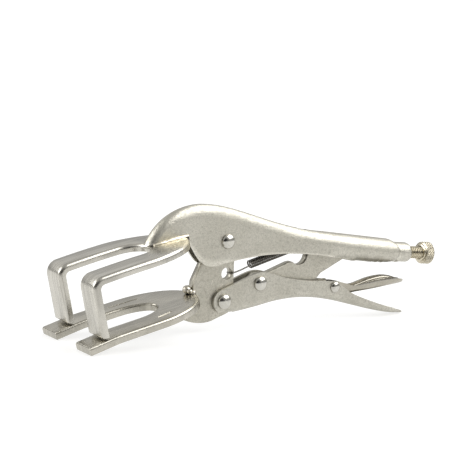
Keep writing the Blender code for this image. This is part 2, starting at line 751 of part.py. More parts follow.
# ---- weld beads ----------------------------------------------------------------------------------
def bead(points, size):
    """Lumpy rod of weld metal along a row of points, tapered at both ends."""
    rings = []
    count = len(points)
    for i, point in enumerate(points):
        before = Vector(points[max(i - 1, 0)])
        after = Vector(points[min(i + 1, count - 1)])
        along = (after - before).normalized()
        side = along.cross(Vector((0, 0, 1))).normalized()
        up = side.cross(along)
        swell = math.sin(math.pi * (i + 0.35) / (count - 0.3)) ** 0.5
        radius = size * swell * (1 + 0.10 * math.sin(i * 2.1))
        ring = []
        for k in range(10):
            angle = 2 * math.pi * k / 10
            ring.append(Vector(point) + (side * math.cos(angle) + up * math.sin(angle)) * radius)
        rings.append(ring)
    return loft(rings)


def make_welds(jaw):
    size = 0.8
    for name, side in (("upper_weld_near", -1), ("upper_weld_far", 1)):
        y = side * (HEAD_HALF + SEAT + size)
        points = []
        for i in range(9):
            x = NOSE_X + 3.6 + 18.0 * i / 8
            points.append((x, y, tongue_top(x) + SEAT + size * 1.12))
        make_object(name, bead(points, size), (0, 0), None, (0.66, 0.62, 0.52), 0.25)
    size = 0.8
    for name, side in (("lower_weld_near", -1), ("lower_weld_far", 1)):
        y = side * (PLATE / 2 + SEAT + size * 1.1)
        points = []
        for i in range(5):
            x = LOWER_ROOT - 0.8 + 0.9 * (i - 4) / 2
            z = lower_fork_top(x)
            points.append((x, y, z + SEAT + size * 1.15))
        make_object(name, bead(points, size), (0, 0), jaw, (0.62, 0.58, 0.50), 0.3)
    radius = 2.1
    x = LOWER_ROOT - 1.1 - SEAT - radius * 1.1
    z = lower_fork_top(x) + SEAT + radius * 1.1
    profile = []
    for i in range(9):
        angle = math.pi * (i + 0.3) / 8.6
        profile.append((-radius * math.cos(angle), radius * math.sin(angle)))
    bm = turned(profile, (x, 0, z), (0, 1, 0), 16)
    make_object("lower_weld_front", bm, (0, 0), jaw, (0.62, 0.58, 0.50), 0.3)


# ---- adjusting screw and knob --------------------------------------------------------------------
def make_screw():
    """Threaded shank and knurled knob on the sloping screw axis."""
    along = Vector((1, 0, SCREW_SLOPE)).normalized()
    tip_x = LINK_TIP_X + LINK_CLEARANCE
    tip = Vector((tip_x, 0, axis_height(tip_x)))
    knob = Vector((KNOB_FRONT, 0, axis_height(KNOB_FRONT)))
    length = (knob - tip).length
    bite = 4.0
    profile = [(0.0, 1.6), (0.8, SCREW_R - 0.6), (1.6, SCREW_R), (length + bite, SCREW_R)]
    make_object("adjusting_screw", turned(profile, tip, along), (tip.x, tip.z), None,
                (0.60, 0.55, 0.42), 0.35)
    bore = SCREW_R + HOLE_PLAY
    collar = 5.2
    profile = [(bite + SEAT, bore), (0.0, bore), (0.0, collar - 0.4), (0.4, collar), (0.9, collar),
               (1.0, KNOB_R - 0.7), (1.7, KNOB_R), (KNOB_LENGTH - 0.9, KNOB_R),
               (KNOB_LENGTH, KNOB_R - 0.9)]
    make_object("adjusting_knob", turned(profile, knob, along), (knob.x, knob.z), None,
                (0.60, 0.57, 0.48), 0.35)


# ---- return spring -------------------------------------------------------------------------------
def wire(points, radius, sides=5):
    """Round wire along a row of points."""
    rings = []
    side = Vector((0, 0, 1))
    last = len(points) - 1
    for i, point in enumerate(points):
        tangent = (points[min(i + 1, last)] - points[max(i - 1, 0)]).normalized()
        side = (side - tangent * side.dot(tangent)).normalized()
        other = tangent.cross(side)
        angles = [2 * math.pi * k / sides for k in range(sides)]
        rings.append([point + (side * math.cos(a) + other * math.sin(a)) * radius for a in angles])
    return loft(rings)


def make_spring():
    """Close-wound extension spring, hooked into the jaw plate's hole and behind the lanced tab."""
    start = Vector((SPRING_HOLE[0] + SPRING_HOLE_R - SEAT - SPRING_WIRE_R, 0, SPRING_HOLE[1]))
    end = Vector((TAB_X + SHEET + SEAT + SPRING_WIRE_R, 0, TAB_WIRE_HEIGHT))
    along = (end - start).normalized()
    up = Vector((-along.z, 0, along.x))
    across = Vector((0, 1, 0))
    face = PLATE / 2 + SEAT + SPRING_WIRE_R
    pitch = 2 * SPRING_WIRE_R + SPRING_GAP
    turn = 2 * math.pi

    path = [start + across * (PLATE / 2 - 1.0), start - across * (PLATE / 2 - 0.7),
            start + along * 0.35 - across * (face - 0.35), start + along * 1.2 - across * face,
            start + along * 5.5 - across * face, start + along * 9.0 - across * (face - 0.6)]
    steps = SPRING_TURNS * 10
    for i in range(steps + 1):
        angle = turn * i / 10
        lead = max(1 - angle / turn * 4, 0) ** 2 - max(1 - (SPRING_TURNS * turn - angle) / turn * 4, 0) ** 2
        centre = start + along * (SPRING_LEAD + pitch * angle / turn - lead)
        path.append(centre + (up * math.sin(angle) - across * math.cos(angle)) * SPRING_R)
    path += [end - along * 5.0 - across * SPRING_R, end - along * 0.9 - across * SPRING_R,
             end - along * 0.25 - across * (SPRING_R - 0.3), end - across * (SPRING_R - 1.0),
             end + across * 1.2]
    make_object("return_spring", wire(path, SPRING_WIRE_R), (0, 0), None, (0.30, 0.29, 0.27), 0.4)


def main():
    for obj in list(bpy.data.objects):
        bpy.data.objects.remove(obj, do_unlink=True)
    jaw = pivot_empty("jaw_axis", (0, 0), None)
    handle = pivot_empty("handle_axis", HANDLE_PIVOT, jaw)
    link = pivot_empty("link_axis", TOGGLE_PIVOT, handle)
    lever = pivot_empty("lever_axis", RELEASE_PIVOT, handle)
    make_upper_handle()
    make_upper_fork()
    make_jaw_plate(jaw)
    make_lower_fork(jaw)
    make_welds(jaw)
    make_lower_handle(handle)
    make_toggle_link(link)
    make_release_lever(lever)
    big = (RIVET_R, RIVET_HEAD_R, RIVET_HEAD_H)
    make_rivet("jaw_rivet", (0, 0), HEAD_HALF, *big, None)
    make_rivet("handle_rivet", HANDLE_PIVOT, HEAD_HALF, *big, jaw)
    make_rivet("toggle_rivet", TOGGLE_PIVOT, HEAD_HALF, *big, handle)
    make_rivet("release_rivet", RELEASE_PIVOT, HEAD_HALF + 1.1, SMALL_RIVET_R, SMALL_HEAD_R,
               SMALL_HEAD_H, handle)
    make_screw()
    make_spring()


main()
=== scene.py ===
"""Looks of the locking welding-clamp pliers with U-shaped fork jaws.

Shapes are drawn in millimetres from the jaw rivet, as X back towards the knob, Z up and the near side at
-Y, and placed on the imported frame's own joint positions.
"""
import json
import math

import bmesh
import bpy
from mathutils import Matrix, Vector, noise


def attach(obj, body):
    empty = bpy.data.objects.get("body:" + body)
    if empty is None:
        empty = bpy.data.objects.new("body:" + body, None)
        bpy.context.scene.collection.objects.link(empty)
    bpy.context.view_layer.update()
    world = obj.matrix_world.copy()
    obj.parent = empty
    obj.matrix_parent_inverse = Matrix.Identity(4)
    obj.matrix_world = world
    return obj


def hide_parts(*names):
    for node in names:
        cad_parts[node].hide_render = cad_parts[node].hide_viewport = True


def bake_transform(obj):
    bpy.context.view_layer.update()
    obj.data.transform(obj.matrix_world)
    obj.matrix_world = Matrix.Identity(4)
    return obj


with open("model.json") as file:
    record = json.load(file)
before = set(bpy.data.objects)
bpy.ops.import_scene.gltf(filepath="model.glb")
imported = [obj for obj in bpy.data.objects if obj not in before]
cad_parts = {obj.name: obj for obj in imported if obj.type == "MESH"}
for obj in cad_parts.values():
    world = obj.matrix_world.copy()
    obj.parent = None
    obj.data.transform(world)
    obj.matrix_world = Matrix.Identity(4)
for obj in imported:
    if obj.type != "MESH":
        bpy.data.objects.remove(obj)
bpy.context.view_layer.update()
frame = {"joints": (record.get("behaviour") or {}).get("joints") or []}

NOISE_SEED = 11         # fixed and not 0, since the noise vectors otherwise start from the clock
noise.seed_set(NOISE_SEED)

MM = 0.001
JOINTS = {joint["name"]: joint for joint in frame["joints"]}
ORIGIN = Vector(JOINTS["jaw_pivot"]["pos_m"])


def from_pivot(name):
    """Side-view place, in mm, of a joint's axis."""
    offset = (Vector(JOINTS[name]["pos_m"]) - ORIGIN) / MM
    return (offset.x, offset.z)


HANDLE_PIVOT = from_pivot("lower_handle_pivot")
TOGGLE_PIVOT = from_pivot("link_pivot")
RELEASE_PIVOT = from_pivot("release_pivot")
FLOOR = -ORIGIN.z / MM

JAW_REACH = 89.6
BODY_REACH = 122.8
HANDLE_REACH = 119.0
LINK_TIP_X = 80.6
SCREW_SLOPE = -0.085
NECK_HEIGHT = -12.95
LINK_CLEARANCE = 2.6
SHEET = 1.6
LEVER_SHEET = 1.4
PLATE = 4.6
FORK = 4.0
SEAT = 0.3
SIDE_PLAY = 0.25
HOLE_PLAY = 0.25
RIVET_R = 2.8
RIVET_HEAD_R = 3.95
RIVET_HEAD_H = 2.5
SMALL_RIVET_R = 2.0
SMALL_HEAD_R = 3.0
SMALL_HEAD_H = 1.9
TUBE_HALF = 7.0
TUBE_RISE = 9.7
TUBE_END = 104.5
NECK_R = 5.5
NECK_START = 110.5
NECK_BORE = 3.85
SHOULDER_FROM = 106.5
SHOULDER_BULGE = 3.0
CURL_START = 62.0
SLOT_END = 80.0
TAB_X = 52.0
TAB_WIDTH = 2.6
TAB_DEPTH = 6.2
FORK_HALF = 25.9
SLOT_HALF = 10.7
TONGUE_FRONT = -24.1
TONGUE_HEIGHT = 4.1
FORK_SLOPE = 0.2
LEG_REACH = 88.0
LEG_FOOT = -39.9
LEG_LEAN = 13.0
LOWER_ROOT = -17.5
LOWER_ROOT_HEIGHT = -25.7
LOWER_SLOPE = 0.225
SCREW_R = 3.45
KNOB_R = 6.25
KNOB_FRONT = 131.4
KNOB_LENGTH = 6.6
SPRING_HOLE = (1.2, -17.1)
SPRING_HOLE_R = 3.2
SPRING_R = 1.95
SPRING_WIRE_R = 0.4
SPRING_TURNS = 24
SPRING_GAP = 0.3
SPRING_LEAD = 13.0
TAB_WIRE_HEIGHT = -3.3
HEAD_HALF = PLATE / 2 + SIDE_PLAY + SHEET
HEAD_TOP = (-16.0, 19.6)
NOSE_X = -46.8


# ---- drawing helpers -----------------------------------------------------------------------------
def place(point):
    return ORIGIN + Vector(point) * MM


def cubic(p0, p1, p2, p3, t):
    a, b, c, d = (1 - t) ** 3, 3 * t * (1 - t) ** 2, 3 * t * t * (1 - t), t ** 3
    return tuple(a * p + b * q + c * r + d * s for p, q, r, s in zip(p0, p1, p2, p3))


def bezier(p0, p1, p2, p3, count):
    return [cubic(p0, p1, p2, p3, i / count) for i in range(count + 1)]


def arc(centre, radius, start, end, count):
    points = []
    for i in range(count + 1):
        angle = math.radians(start + (end - start) * i / count)
        points.append((centre[0] + radius * math.cos(angle), centre[1] + radius * math.sin(angle)))
    return points


def smooth_through(points, steps):
    out = []
    last = len(points) - 1
    for i in range(last):
        before, start, end = points[max(i - 1, 0)], points[i], points[i + 1]
        after = points[min(i + 2, last)]
        for k in range(steps):
            t = k / steps
            out.append(tuple(
                0.5 * (2 * b + (c - a) * t + (2 * a - 5 * b + 4 * c - d) * t * t
                       + (3 * b - a - 3 * c + d) * t ** 3)
                for a, b, c, d in zip(before, start, end, after)))
    out.append(tuple(points[-1]))
    return out


def ease(x, start, end):
    t = min(max((x - start) / (end - start), 0.0), 1.0)
    return t * t * (3 - 2 * t)


def on_curve(points, x):
    for (x0, z0), (x1, z1) in zip(points, points[1:]):
        if x <= x1:
            break
    return z0 + (z1 - z0) * (x - x0) / (x1 - x0)


def axis_height(x):
    return NECK_HEIGHT + SCREW_SLOPE * (x - BODY_REACH)


def make_object(name, bm, sharp=38):
    """Object at the world's origin from a mesh drawn in the side view."""
    for vert in bm.verts:
        vert.co = place(vert.co)
    bmesh.ops.remove_doubles(bm, verts=bm.verts, dist=1e-7)
    bmesh.ops.dissolve_degenerate(bm, dist=1e-7, edges=bm.edges)
    bmesh.ops.recalc_face_normals(bm, faces=bm.faces)
    mesh = bpy.data.meshes.new(name)
    bm.to_mesh(mesh)
    bm.free()
    mesh.shade_smooth()
    mesh.set_sharp_from_angle(angle=math.radians(sharp))
    obj = bpy.data.objects.new(name, mesh)
    bpy.context.scene.collection.objects.link(obj)
    return obj


def prism(outline, low, high):
    bm = bmesh.new()
    near = [bm.verts.new((x, low, z)) for x, z in outline]
    far = [bm.verts.new((x, high, z)) for x, z in outline]
    bm.faces.new(near)
    bm.faces.new(reversed(far))
    for i in range(len(outline)):
        j = (i + 1) % len(outline)
        bm.faces.new((near[j], near[i], far[i], far[j]))
    return bm


def loft(rings):
    bm = bmesh.new()
    rows = [[bm.verts.new(point) for point in ring] for ring in rings]
    count = len(rings[0])
    for row, following in zip(rows, rows[1:]):
        for i in range(count):
            j = (i + 1) % count
            bm.faces.new((row[i], row[j], following[j], following[i]))
    bm.faces.new(reversed(rows[0]))
    bm.faces.new(rows[-1])
    return bm


def turned(profile, centre, direction, count=64):
    along = Vector(direction).normalized()
    side = along.orthogonal().normalized()
    other = along.cross(side)
    rings = []
    for distance, radius in profile:
        base = Vector(centre) + along * distance
        ring = []
        for i in range(count):
            angle = 2 * math.pi * (i + 0.5) / count
            ring.append(base + (side * math.cos(angle) + other * math.sin(angle)) * radius)
        rings.append(ring)
    return loft(rings)


def baked(obj, sharp=38):
    """Apply the modifiers and shade smooth up to the sharp edges."""
    bpy.context.view_layer.update()
    evaluated = obj.evaluated_get(bpy.context.evaluated_depsgraph_get())
    mesh = bpy.data.meshes.new_from_object(evaluated)
    mesh.shade_smooth()
    mesh.set_sharp_from_angle(angle=math.radians(sharp))
    obj.modifiers.clear()
    obj.data = mesh
    return obj


def combine(obj, bm, operation):
    """Cut or join a shape drawn in the side view, then throw it away."""
    cutter = make_object(obj.name + "_tool", bm)
    modifier = obj.modifiers.new("combine", 'BOOLEAN')
    modifier.operation = operation
    modifier.object = cutter
    modifier.solver = 'EXACT'
    baked(obj)
    bpy.data.objects.remove(cutter, do_unlink=True)


def hole(obj, pivot, radius):
    far = TUBE_HALF * 2
    combine(obj, turned([(-far, radius), (far, radius)], (pivot[0], 0, pivot[1]), (0, 1, 0)), 'DIFFERENCE')


def soften(obj, width, steps=2, angle=40):
    modifier = obj.modifiers.new("edges", 'BEVEL')
    modifier.width = width * MM
    modifier.segments = steps
    modifier.limit_method = 'ANGLE'
    modifier.angle_limit = math.radians(angle)
    modifier.use_clamp_overlap = True
    modifier.harden_normals = True


def flat_sides(obj):
    """Keep the two big faces of a plate exactly flat once its edges are rounded."""
    baked(obj, 50)
    for polygon in obj.data.polygons:
        polygon.use_smooth = abs(polygon.normal.y) < 0.999


def finish_piece(obj, body, slot, materials, *nodes):
    """Give a piece its materials and its body, and hide the CAD nodes that it stands for."""
    obj.data.materials.clear()
    for item in materials:
        obj.data.materials.append(item)
    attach(obj, body)
    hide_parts(*nodes)
    return obj


# ---- materials -----------------------------------------------------------------------------------
class Nodes:
    """Small builder for a Principled material."""

    def __init__(self, name):
        self.material = bpy.data.materials.new(name)
        self.material.use_nodes = True
        self.tree = self.material.node_tree
        self.shader = self.tree.nodes["Principled BSDF"]
        self.coordinates = self.tree.nodes.new("ShaderNodeTexCoord").outputs["Object"]

    def noise(self, scale, detail=3.0, roughness=0.55, stretch=None):
        vector = self.coordinates
        if stretch is not None:
            mapping = self.tree.nodes.new("ShaderNodeMapping")
            mapping.inputs["Scale"].default_value = stretch
            self.tree.links.new(vector, mapping.inputs["Vector"])
            vector = mapping.outputs["Vector"]
        node = self.tree.nodes.new("ShaderNodeTexNoise")
        node.inputs["Scale"].default_value = scale
        node.inputs["Detail"].default_value = detail
        node.inputs["Roughness"].default_value = roughness
        self.tree.links.new(vector, node.inputs["Vector"])
        return node.outputs["Fac"]

    def range(self, value, low, high, start=0.3, end=0.7):
        node = self.tree.nodes.new("ShaderNodeMapRange")
        self.tree.links.new(value, node.inputs["Value"])
        node.inputs["From Min"].default_value = start
        node.inputs["From Max"].default_value = end
        node.inputs["To Min"].default_value = low
        node.inputs["To Max"].default_value = high
        return node.outputs["Result"]

    def math(self, operation, a, b):
        node = self.tree.nodes.new("ShaderNodeMath")
        node.operation = operation
        for socket, value in zip(node.inputs, (a, b)):
            if isinstance(value, (int, float)):
                socket.default_value = value
            else:
                self.tree.links.new(value, socket)
        return node.outputs[0]

    def blend(self, factor, a, b, mode='MIX'):
        node = self.tree.nodes.new("ShaderNodeMix")
        node.data_type = 'RGBA'
        node.blend_type = mode
        sockets = {s.identifier: s for s in node.inputs}
        for key, value in (("Factor_Float", factor), ("A_Color", a), ("B_Color", b)):
            socket = sockets[key]
            if isinstance(value, (int, float)):
                socket.default_value = value
            elif isinstance(value, tuple):
                socket.default_value = (*value, 1.0)
            else:
                self.tree.links.new(value, socket)
        return [s for s in node.outputs if s.identifier == "Result_Color"][0]

    def edges(self, low=0.53, high=0.62):
        """1 on convex edges, which are worn and get a painted highlight; 0 on flat faces."""
        geometry = self.tree.nodes.new("ShaderNodeNewGeometry")
        return self.range(geometry.outputs["Pointiness"], 0.0, 1.0, low, high)

    def cavities(self, low=0.38, high=0.49):
        """1 in grooves and inner corners, where painted shade goes; 0 on flat faces."""
        geometry = self.tree.nodes.new("ShaderNodeNewGeometry")
        return self.range(geometry.outputs["Pointiness"], 1.0, 0.0, low, high)

    def near(self, point, inner, outer):
        """1 within the inner distance, in mm, of a drawing point and 0 beyond the outer one."""
        away = self.tree.nodes.new("ShaderNodeVectorMath")
        away.operation = 'DISTANCE'
        self.tree.links.new(self.coordinates, away.inputs[0])
        away.inputs[1].default_value = place(point)
        return self.range(away.outputs["Value"], 1.0, 0.0, inner * MM, outer * MM)

    def bump(self, height, strength, distance, onto=None):
        node = self.tree.nodes.new("ShaderNodeBump")
        node.inputs["Strength"].default_value = strength
        node.inputs["Distance"].default_value = distance
        self.tree.links.new(height, node.inputs["Height"])
        if onto is not None:
            self.tree.links.new(onto, node.inputs["Normal"])
        return node.outputs["Normal"]

    def set(self, socket, value):
        target = self.shader.inputs[socket]
        if isinstance(value, (int, float)):
            target.default_value = value
        elif isinstance(value, tuple):
            target.default_value = (*value, 1.0)
        else:
            self.tree.links.new(value, target)


def satin_plate(name, colour, shade, roughness, grain=0.3, speckle=0.20, streak=None, wear_and_highlight=0.35, cavity_shade=0.45,
                tint=None):
    """Blasted and plated steel: fine grain, faint clouds, convex edges lightened for wear and as a painted
    highlight, and painted shade darkening the corners.
    """
    n = Nodes(name)
    clouds = n.noise(55.0, 3.0)
    coarse = n.noise(750.0, 3.0, 0.7)
    fine = n.noise(1700.0, 3.0, 0.75)
    dark = tuple(c * 0.52 for c in shade)
    base = n.blend(n.range(clouds, 0.0, 1.0), colour, shade)
    base = n.blend(n.range(fine, 0.0, speckle * 2, 0.46, 0.70), base, dark)
    base = n.blend(n.range(coarse, 0.0, speckle, 0.48, 0.66), base, dark)
    if streak is not None:
        brushed = n.noise(streak[0], 3.0, 0.6, streak[1])
        base = n.blend(n.range(brushed, 0.0, streak[3], 0.42, 0.62), base, dark)
    # painted shade: darker in grooves and inner corners
    base = n.blend(n.math('MULTIPLY', n.cavities(), cavity_shade), base, tuple(c * 0.4 for c in shade))
    # convex edges lightened: wear, plus a painted highlight along the rims
    edge = n.edges()
    base = n.blend(n.math('MULTIPLY', edge, wear_and_highlight), base, tuple(min(c * 1.45, 0.95) for c in colour))
    if tint is not None:
        heat, point, inner, outer = tint
        patch = n.math('MULTIPLY', n.near(point, inner, outer), n.range(n.noise(260.0, 3.0), 0.55, 1.0))
        base = n.blend(patch, base, heat)
    n.set("Base Color", base)
    n.set("Metallic", 1.0)
    rough = n.math('ADD', n.range(clouds, -0.03, 0.03), roughness)
    rough = n.math('ADD', rough, n.range(coarse, -0.25 * speckle, 0.3 * speckle))
    rough = n.math('SUBTRACT', rough, n.math('MULTIPLY', edge, 0.12))
    n.set("Roughness", rough)
    normal = n.bump(fine, grain, 0.00022)
    normal = n.bump(coarse, grain * 0.8, 0.0003, normal)
    if streak is not None:
        normal = n.bump(brushed, streak[2], 0.0002, normal)
    normal = n.bump(n.noise(140.0, 2.0), 0.08, 0.0004, normal)
    n.set("Normal", normal)
    return n.material


def sheared_edge(name, colour, shade):
    """Rough torn edge of punched plate, with tear marks across its thickness."""
    n = Nodes(name)
    tears = n.noise(900.0, 4.0, 0.7, (1.0, 1.0, 0.28))
    coarse = n.noise(300.0, 4.0, 0.65)
    fine = n.noise(1600.0, 3.0, 0.7)
    base = n.blend(n.range(coarse, 0.0, 1.0, 0.35, 0.65), colour, shade)
    base = n.blend(n.range(tears, 0.0, 0.32, 0.46, 0.66), base, tuple(c * 0.35 for c in shade))
    n.set("Base Color", base)
    n.set("Metallic", 1.0)
    n.set("Roughness", n.range(fine, 0.26, 0.5))
    normal = n.bump(coarse, 0.10, 0.0004)
    normal = n.bump(tears, 0.10, 0.0002, normal)
    n.set("Normal", n.bump(fine, 0.04, 0.0001, normal))
    return n.material


def weld_metal(name, colour, shade):
    n = Nodes(name)
    flow = n.noise(330.0, 3.0, 0.6)
    ripple = n.noise(900.0, 2.0, 0.5, (1.0, 0.3, 0.3))
    tint = n.noise(160.0, 2.0)
    base = n.blend(n.range(tint, 0.0, 1.0), colour, shade)
    # painted shade: darker in the hollows of the weld
    base = n.blend(n.math('MULTIPLY', n.cavities(0.40, 0.5), 0.35), base, tuple(c * 0.5 for c in shade))
    n.set("Base Color", base)
    n.set("Metallic", 1.0)
    n.set("Roughness", n.range(flow, 0.26, 0.42))
    normal = n.bump(flow, 0.12, 0.0004)
    n.set("Normal", n.bump(ripple, 0.06, 0.0002, normal))
    return n.material


def polished(name, colour, roughness):
    n = Nodes(name)
    marks = n.noise(700.0, 3.0, 0.6)
    haze = n.noise(180.0, 2.0)
    base = n.blend(n.range(haze, 0.0, 0.5), colour, tuple(c * 0.82 for c in colour))
    base = n.blend(n.range(marks, 0.0, 0.25, 0.5, 0.7), base, tuple(c * 0.6 for c in colour))
    n.set("Base Color", base)
    n.set("Metallic", 1.0)
    n.set("Roughness", n.range(marks, roughness * 0.8, roughness * 1.4))
    n.set("Normal", n.bump(marks, 0.06, 0.0001))
    return n.material


HEAT_TINT = ((0.70, 0.64, 0.49), (-32.0, -9.0, 2.0), 7.0, 13.0)
handle_metal = satin_plate("blasted_nickel", (0.56, 0.54, 0.475), (0.49, 0.47, 0.405), 0.40, grain=0.5,
                           speckle=0.34)
plate_metal = satin_plate("plate_nickel", (0.53, 0.505, 0.435), (0.45, 0.43, 0.365), 0.40, grain=0.4,
                          speckle=0.34,
                           wear_and_highlight=0.0, cavity_shade=0.0)
fork_metal = satin_plate("fork_nickel", (0.60, 0.58, 0.525), (0.52, 0.50, 0.445), 0.27, grain=0.0,
                         speckle=0.04,
                         streak=(130.0, (0.25, 6.0, 0.25), 0.03, 0.45), wear_and_highlight=0.0, cavity_shade=0.0, tint=HEAT_TINT)
lower_fork_metal = satin_plate("lower_fork_nickel", (0.54, 0.515, 0.45), (0.46, 0.44, 0.38), 0.27, grain=0.02,
                               speckle=0.10, streak=(130.0, (0.6, 4.0, 0.6), 0.04, 0.36), wear_and_highlight=0.0, cavity_shade=0.0)
edge_metal = sheared_edge("sheared_nickel", (0.62, 0.57, 0.46), (0.50, 0.45, 0.345))
# near-black strip along the lowest rolled-over strip of the upper fork's rims: a painted shade line
painted_shade_line_metal = sheared_edge("painted_shade_line_nickel", (0.22, 0.20, 0.16), (0.12, 0.11, 0.09))
# pale strip along the lowest rolled-over strip of the lower fork's rims: wear, and a painted highlight
worn_rim_highlight_metal = sheared_edge("worn_rim_highlight_nickel", (0.78, 0.75, 0.68), (0.42, 0.39, 0.32))
rim_metal = sheared_edge("rim_nickel", (0.46, 0.42, 0.34), (0.30, 0.27, 0.21))
# the lever's rims get a strong painted highlight along with wear
lever_metal = satin_plate("lever_nickel", (0.43, 0.405, 0.345), (0.33, 0.31, 0.26), 0.20, grain=0.12,
                          speckle=0.12,
                          wear_and_highlight=0.95)
rivet_metal = polished("rivet_nickel", (0.56, 0.545, 0.495), 0.17)
gold_weld = weld_metal("weld_gold", (0.84, 0.79, 0.66), (0.66, 0.61, 0.49))
grey_weld = weld_metal("weld_grey", (0.66, 0.625, 0.55), (0.56, 0.53, 0.46))
# screw threads and knob knurls get strong painted shade in their hollows
screw_metal = satin_plate("screw_zinc", (0.60, 0.54, 0.40), (0.48, 0.43, 0.32), 0.26, grain=0.15, cavity_shade=0.8)
knob_metal = satin_plate("knob_zinc", (0.60, 0.55, 0.44), (0.50, 0.46, 0.36), 0.26, grain=0.15, cavity_shade=0.8)
spring_metal = satin_plate("spring_wire", (0.17, 0.16, 0.14), (0.10, 0.095, 0.085), 0.30, grain=0.1)


# ---- the upper handle ----------------------------------------------------------------------------
def tongue_top(x):
    return TONGUE_HEIGHT + FORK_SLOPE * (x - TONGUE_FRONT)


TONGUE_CORNER = (TONGUE_FRONT + SEAT, tongue_top(TONGUE_FRONT + SEAT) + SEAT)
NOSE_SPAN, BACK_SPAN = 9, 11
CHEEK = (-16.4, -9.0)
CHEEK_END = (-5.0, -12.2)


def crest_at(u):
    """Top line of the head: u runs from 0 at the nose over 9 at the top to 20 at the tube."""
    tube_front = (CURL_START, axis_height(CURL_START) + TUBE_RISE)
    if u <= NOSE_SPAN:
        return cubic((NOSE_X, tongue_top(NOSE_X) + SEAT), (-43.0, 8.8), (-33.0, 19.2), HEAD_TOP,
                     u / NOSE_SPAN)
    return cubic(HEAD_TOP, (6.0, 19.6), (30.0, 5.2), tube_front, (u - NOSE_SPAN) / BACK_SPAN)


UNDER = [CHEEK_END] + bezier(CHEEK_END, (14.0, -8.0), (36.0, -6.6), (CURL_START, -10.8), 30)[1:]


def edge_at(u):
    """Lower edge of the walls for the same u."""
    if u <= 6:
        return TONGUE_CORNER
    if u <= 9:
        return cubic(TONGUE_CORNER, (-23.5, 2.5), (-21.5, -3.0), CHEEK, (u - 6) / 3)
    if u <= 13:
        return cubic(CHEEK, (-13.6, -12.6), (-9.5, -13.0), CHEEK_END, (u - 9) / 4)
    start = crest_at(13)[0]
    x = crest_at(u)[0]
    x -= (start - CHEEK_END[0]) * (1 - ease(x, start, CURL_START))
    return (x, on_curve(UNDER, x))


def shoulder_drop(x):
    """Rounded end of the tube, which meets the neck in a crease: 0 on the tube, 1 on the neck."""
    t = min(max((x - SHOULDER_FROM) / (NECK_START - SHOULDER_FROM), 0.0), 1.0)
    return 1 - (1 - t ** 2.2) ** 0.6


def half_width(x):
    wide = HEAD_HALF + (TUBE_HALF - HEAD_HALF) * ease(x, 32.0, 78.0)
    return wide + (NECK_R - wide) * shoulder_drop(x)


def sheet_at(x):
    return SHEET + (NECK_R - NECK_BORE - SHEET) * ease(x, TUBE_END, NECK_START)


def crest_of_tube(x):
    tube = axis_height(CURL_START) + TUBE_RISE - 0.14 * (x - CURL_START)
    neck = axis_height(x) + NECK_R
    return tube + (neck - tube) * shoulder_drop(x)


def keel_of_tube(x):
    line = [(CURL_START, -10.8), (SLOT_END, -14.6), (95.0, -16.7), (NECK_START + 1, -17.9)]
    tube = on_curve(line, min(x, NECK_START))
    neck = axis_height(x) - NECK_R
    wave = 0.22 * math.sin(1.7 * (x - 96.0)) * ease(x, 94.0, 97.0) * (1 - ease(x, 103.0, 106.0))
    dents = 0.7 * math.exp(-((x - 111.2) / 0.9) ** 2) - 0.45 * math.exp(-((x - 113.8) / 1.1) ** 2)
    return tube + (neck - tube) * ease(x, TUBE_END, NECK_START) + wave + dents


def curl_of_walls(x):
    return 0.5 * ease(x, CURL_START, CURL_START + 10) + 0.46 * ease(x, SLOT_END, SLOT_END + 8)


def body_section(crest, inward, edge, half, curl, sheet, crown=1.0):
    crest, inward, edge = Vector(crest), Vector(inward), Vector(edge)
    shoulder = crest + inward * half * crown
    sweep = curl * math.pi / 2
    drop = edge - shoulder
    arc_length = half * math.pi / 2
    if sweep > 0:
        arc_length = min(arc_length, (drop.length - 0.05) * sweep / math.sin(sweep))
    round_steps, wall_steps = 12, 10

    def path(inset):
        points = []
        for i in range(round_steps + 1):
            angle = math.pi / 2 * i / round_steps
            base = crest + inward * (half * crown - (half * crown - inset) * math.cos(angle))
            points.append((base, (half - inset) * math.sin(angle)))
        if sweep < 1e-3:
            for i in range(wall_steps):
                points.append((shoulder + drop * ((i + 1) / wall_steps), half - inset))
            return points
        radius = arc_length / sweep
        straight = max(drop.length - radius * math.sin(sweep), 0.05)
        way = drop.normalized()
        for i in range(wall_steps):
            angle = sweep * i / (wall_steps - 1)
            depth = straight + (radius - inset) * math.sin(angle)
            points.append((shoulder + way * depth, half - radius + (radius - inset) * math.cos(angle)))
        return points

    outer, inner = path(0.0), path(sheet)
    ring = [(p.x, y, p.y) for p, y in reversed(outer)]
    ring += [(p.x, -y, p.y) for p, y in outer[1:]]
    ring += [(p.x, -y, p.y) for p, y in reversed(inner)]
    ring += [(p.x, y, p.y) for p, y in inner[1:]]
    return ring


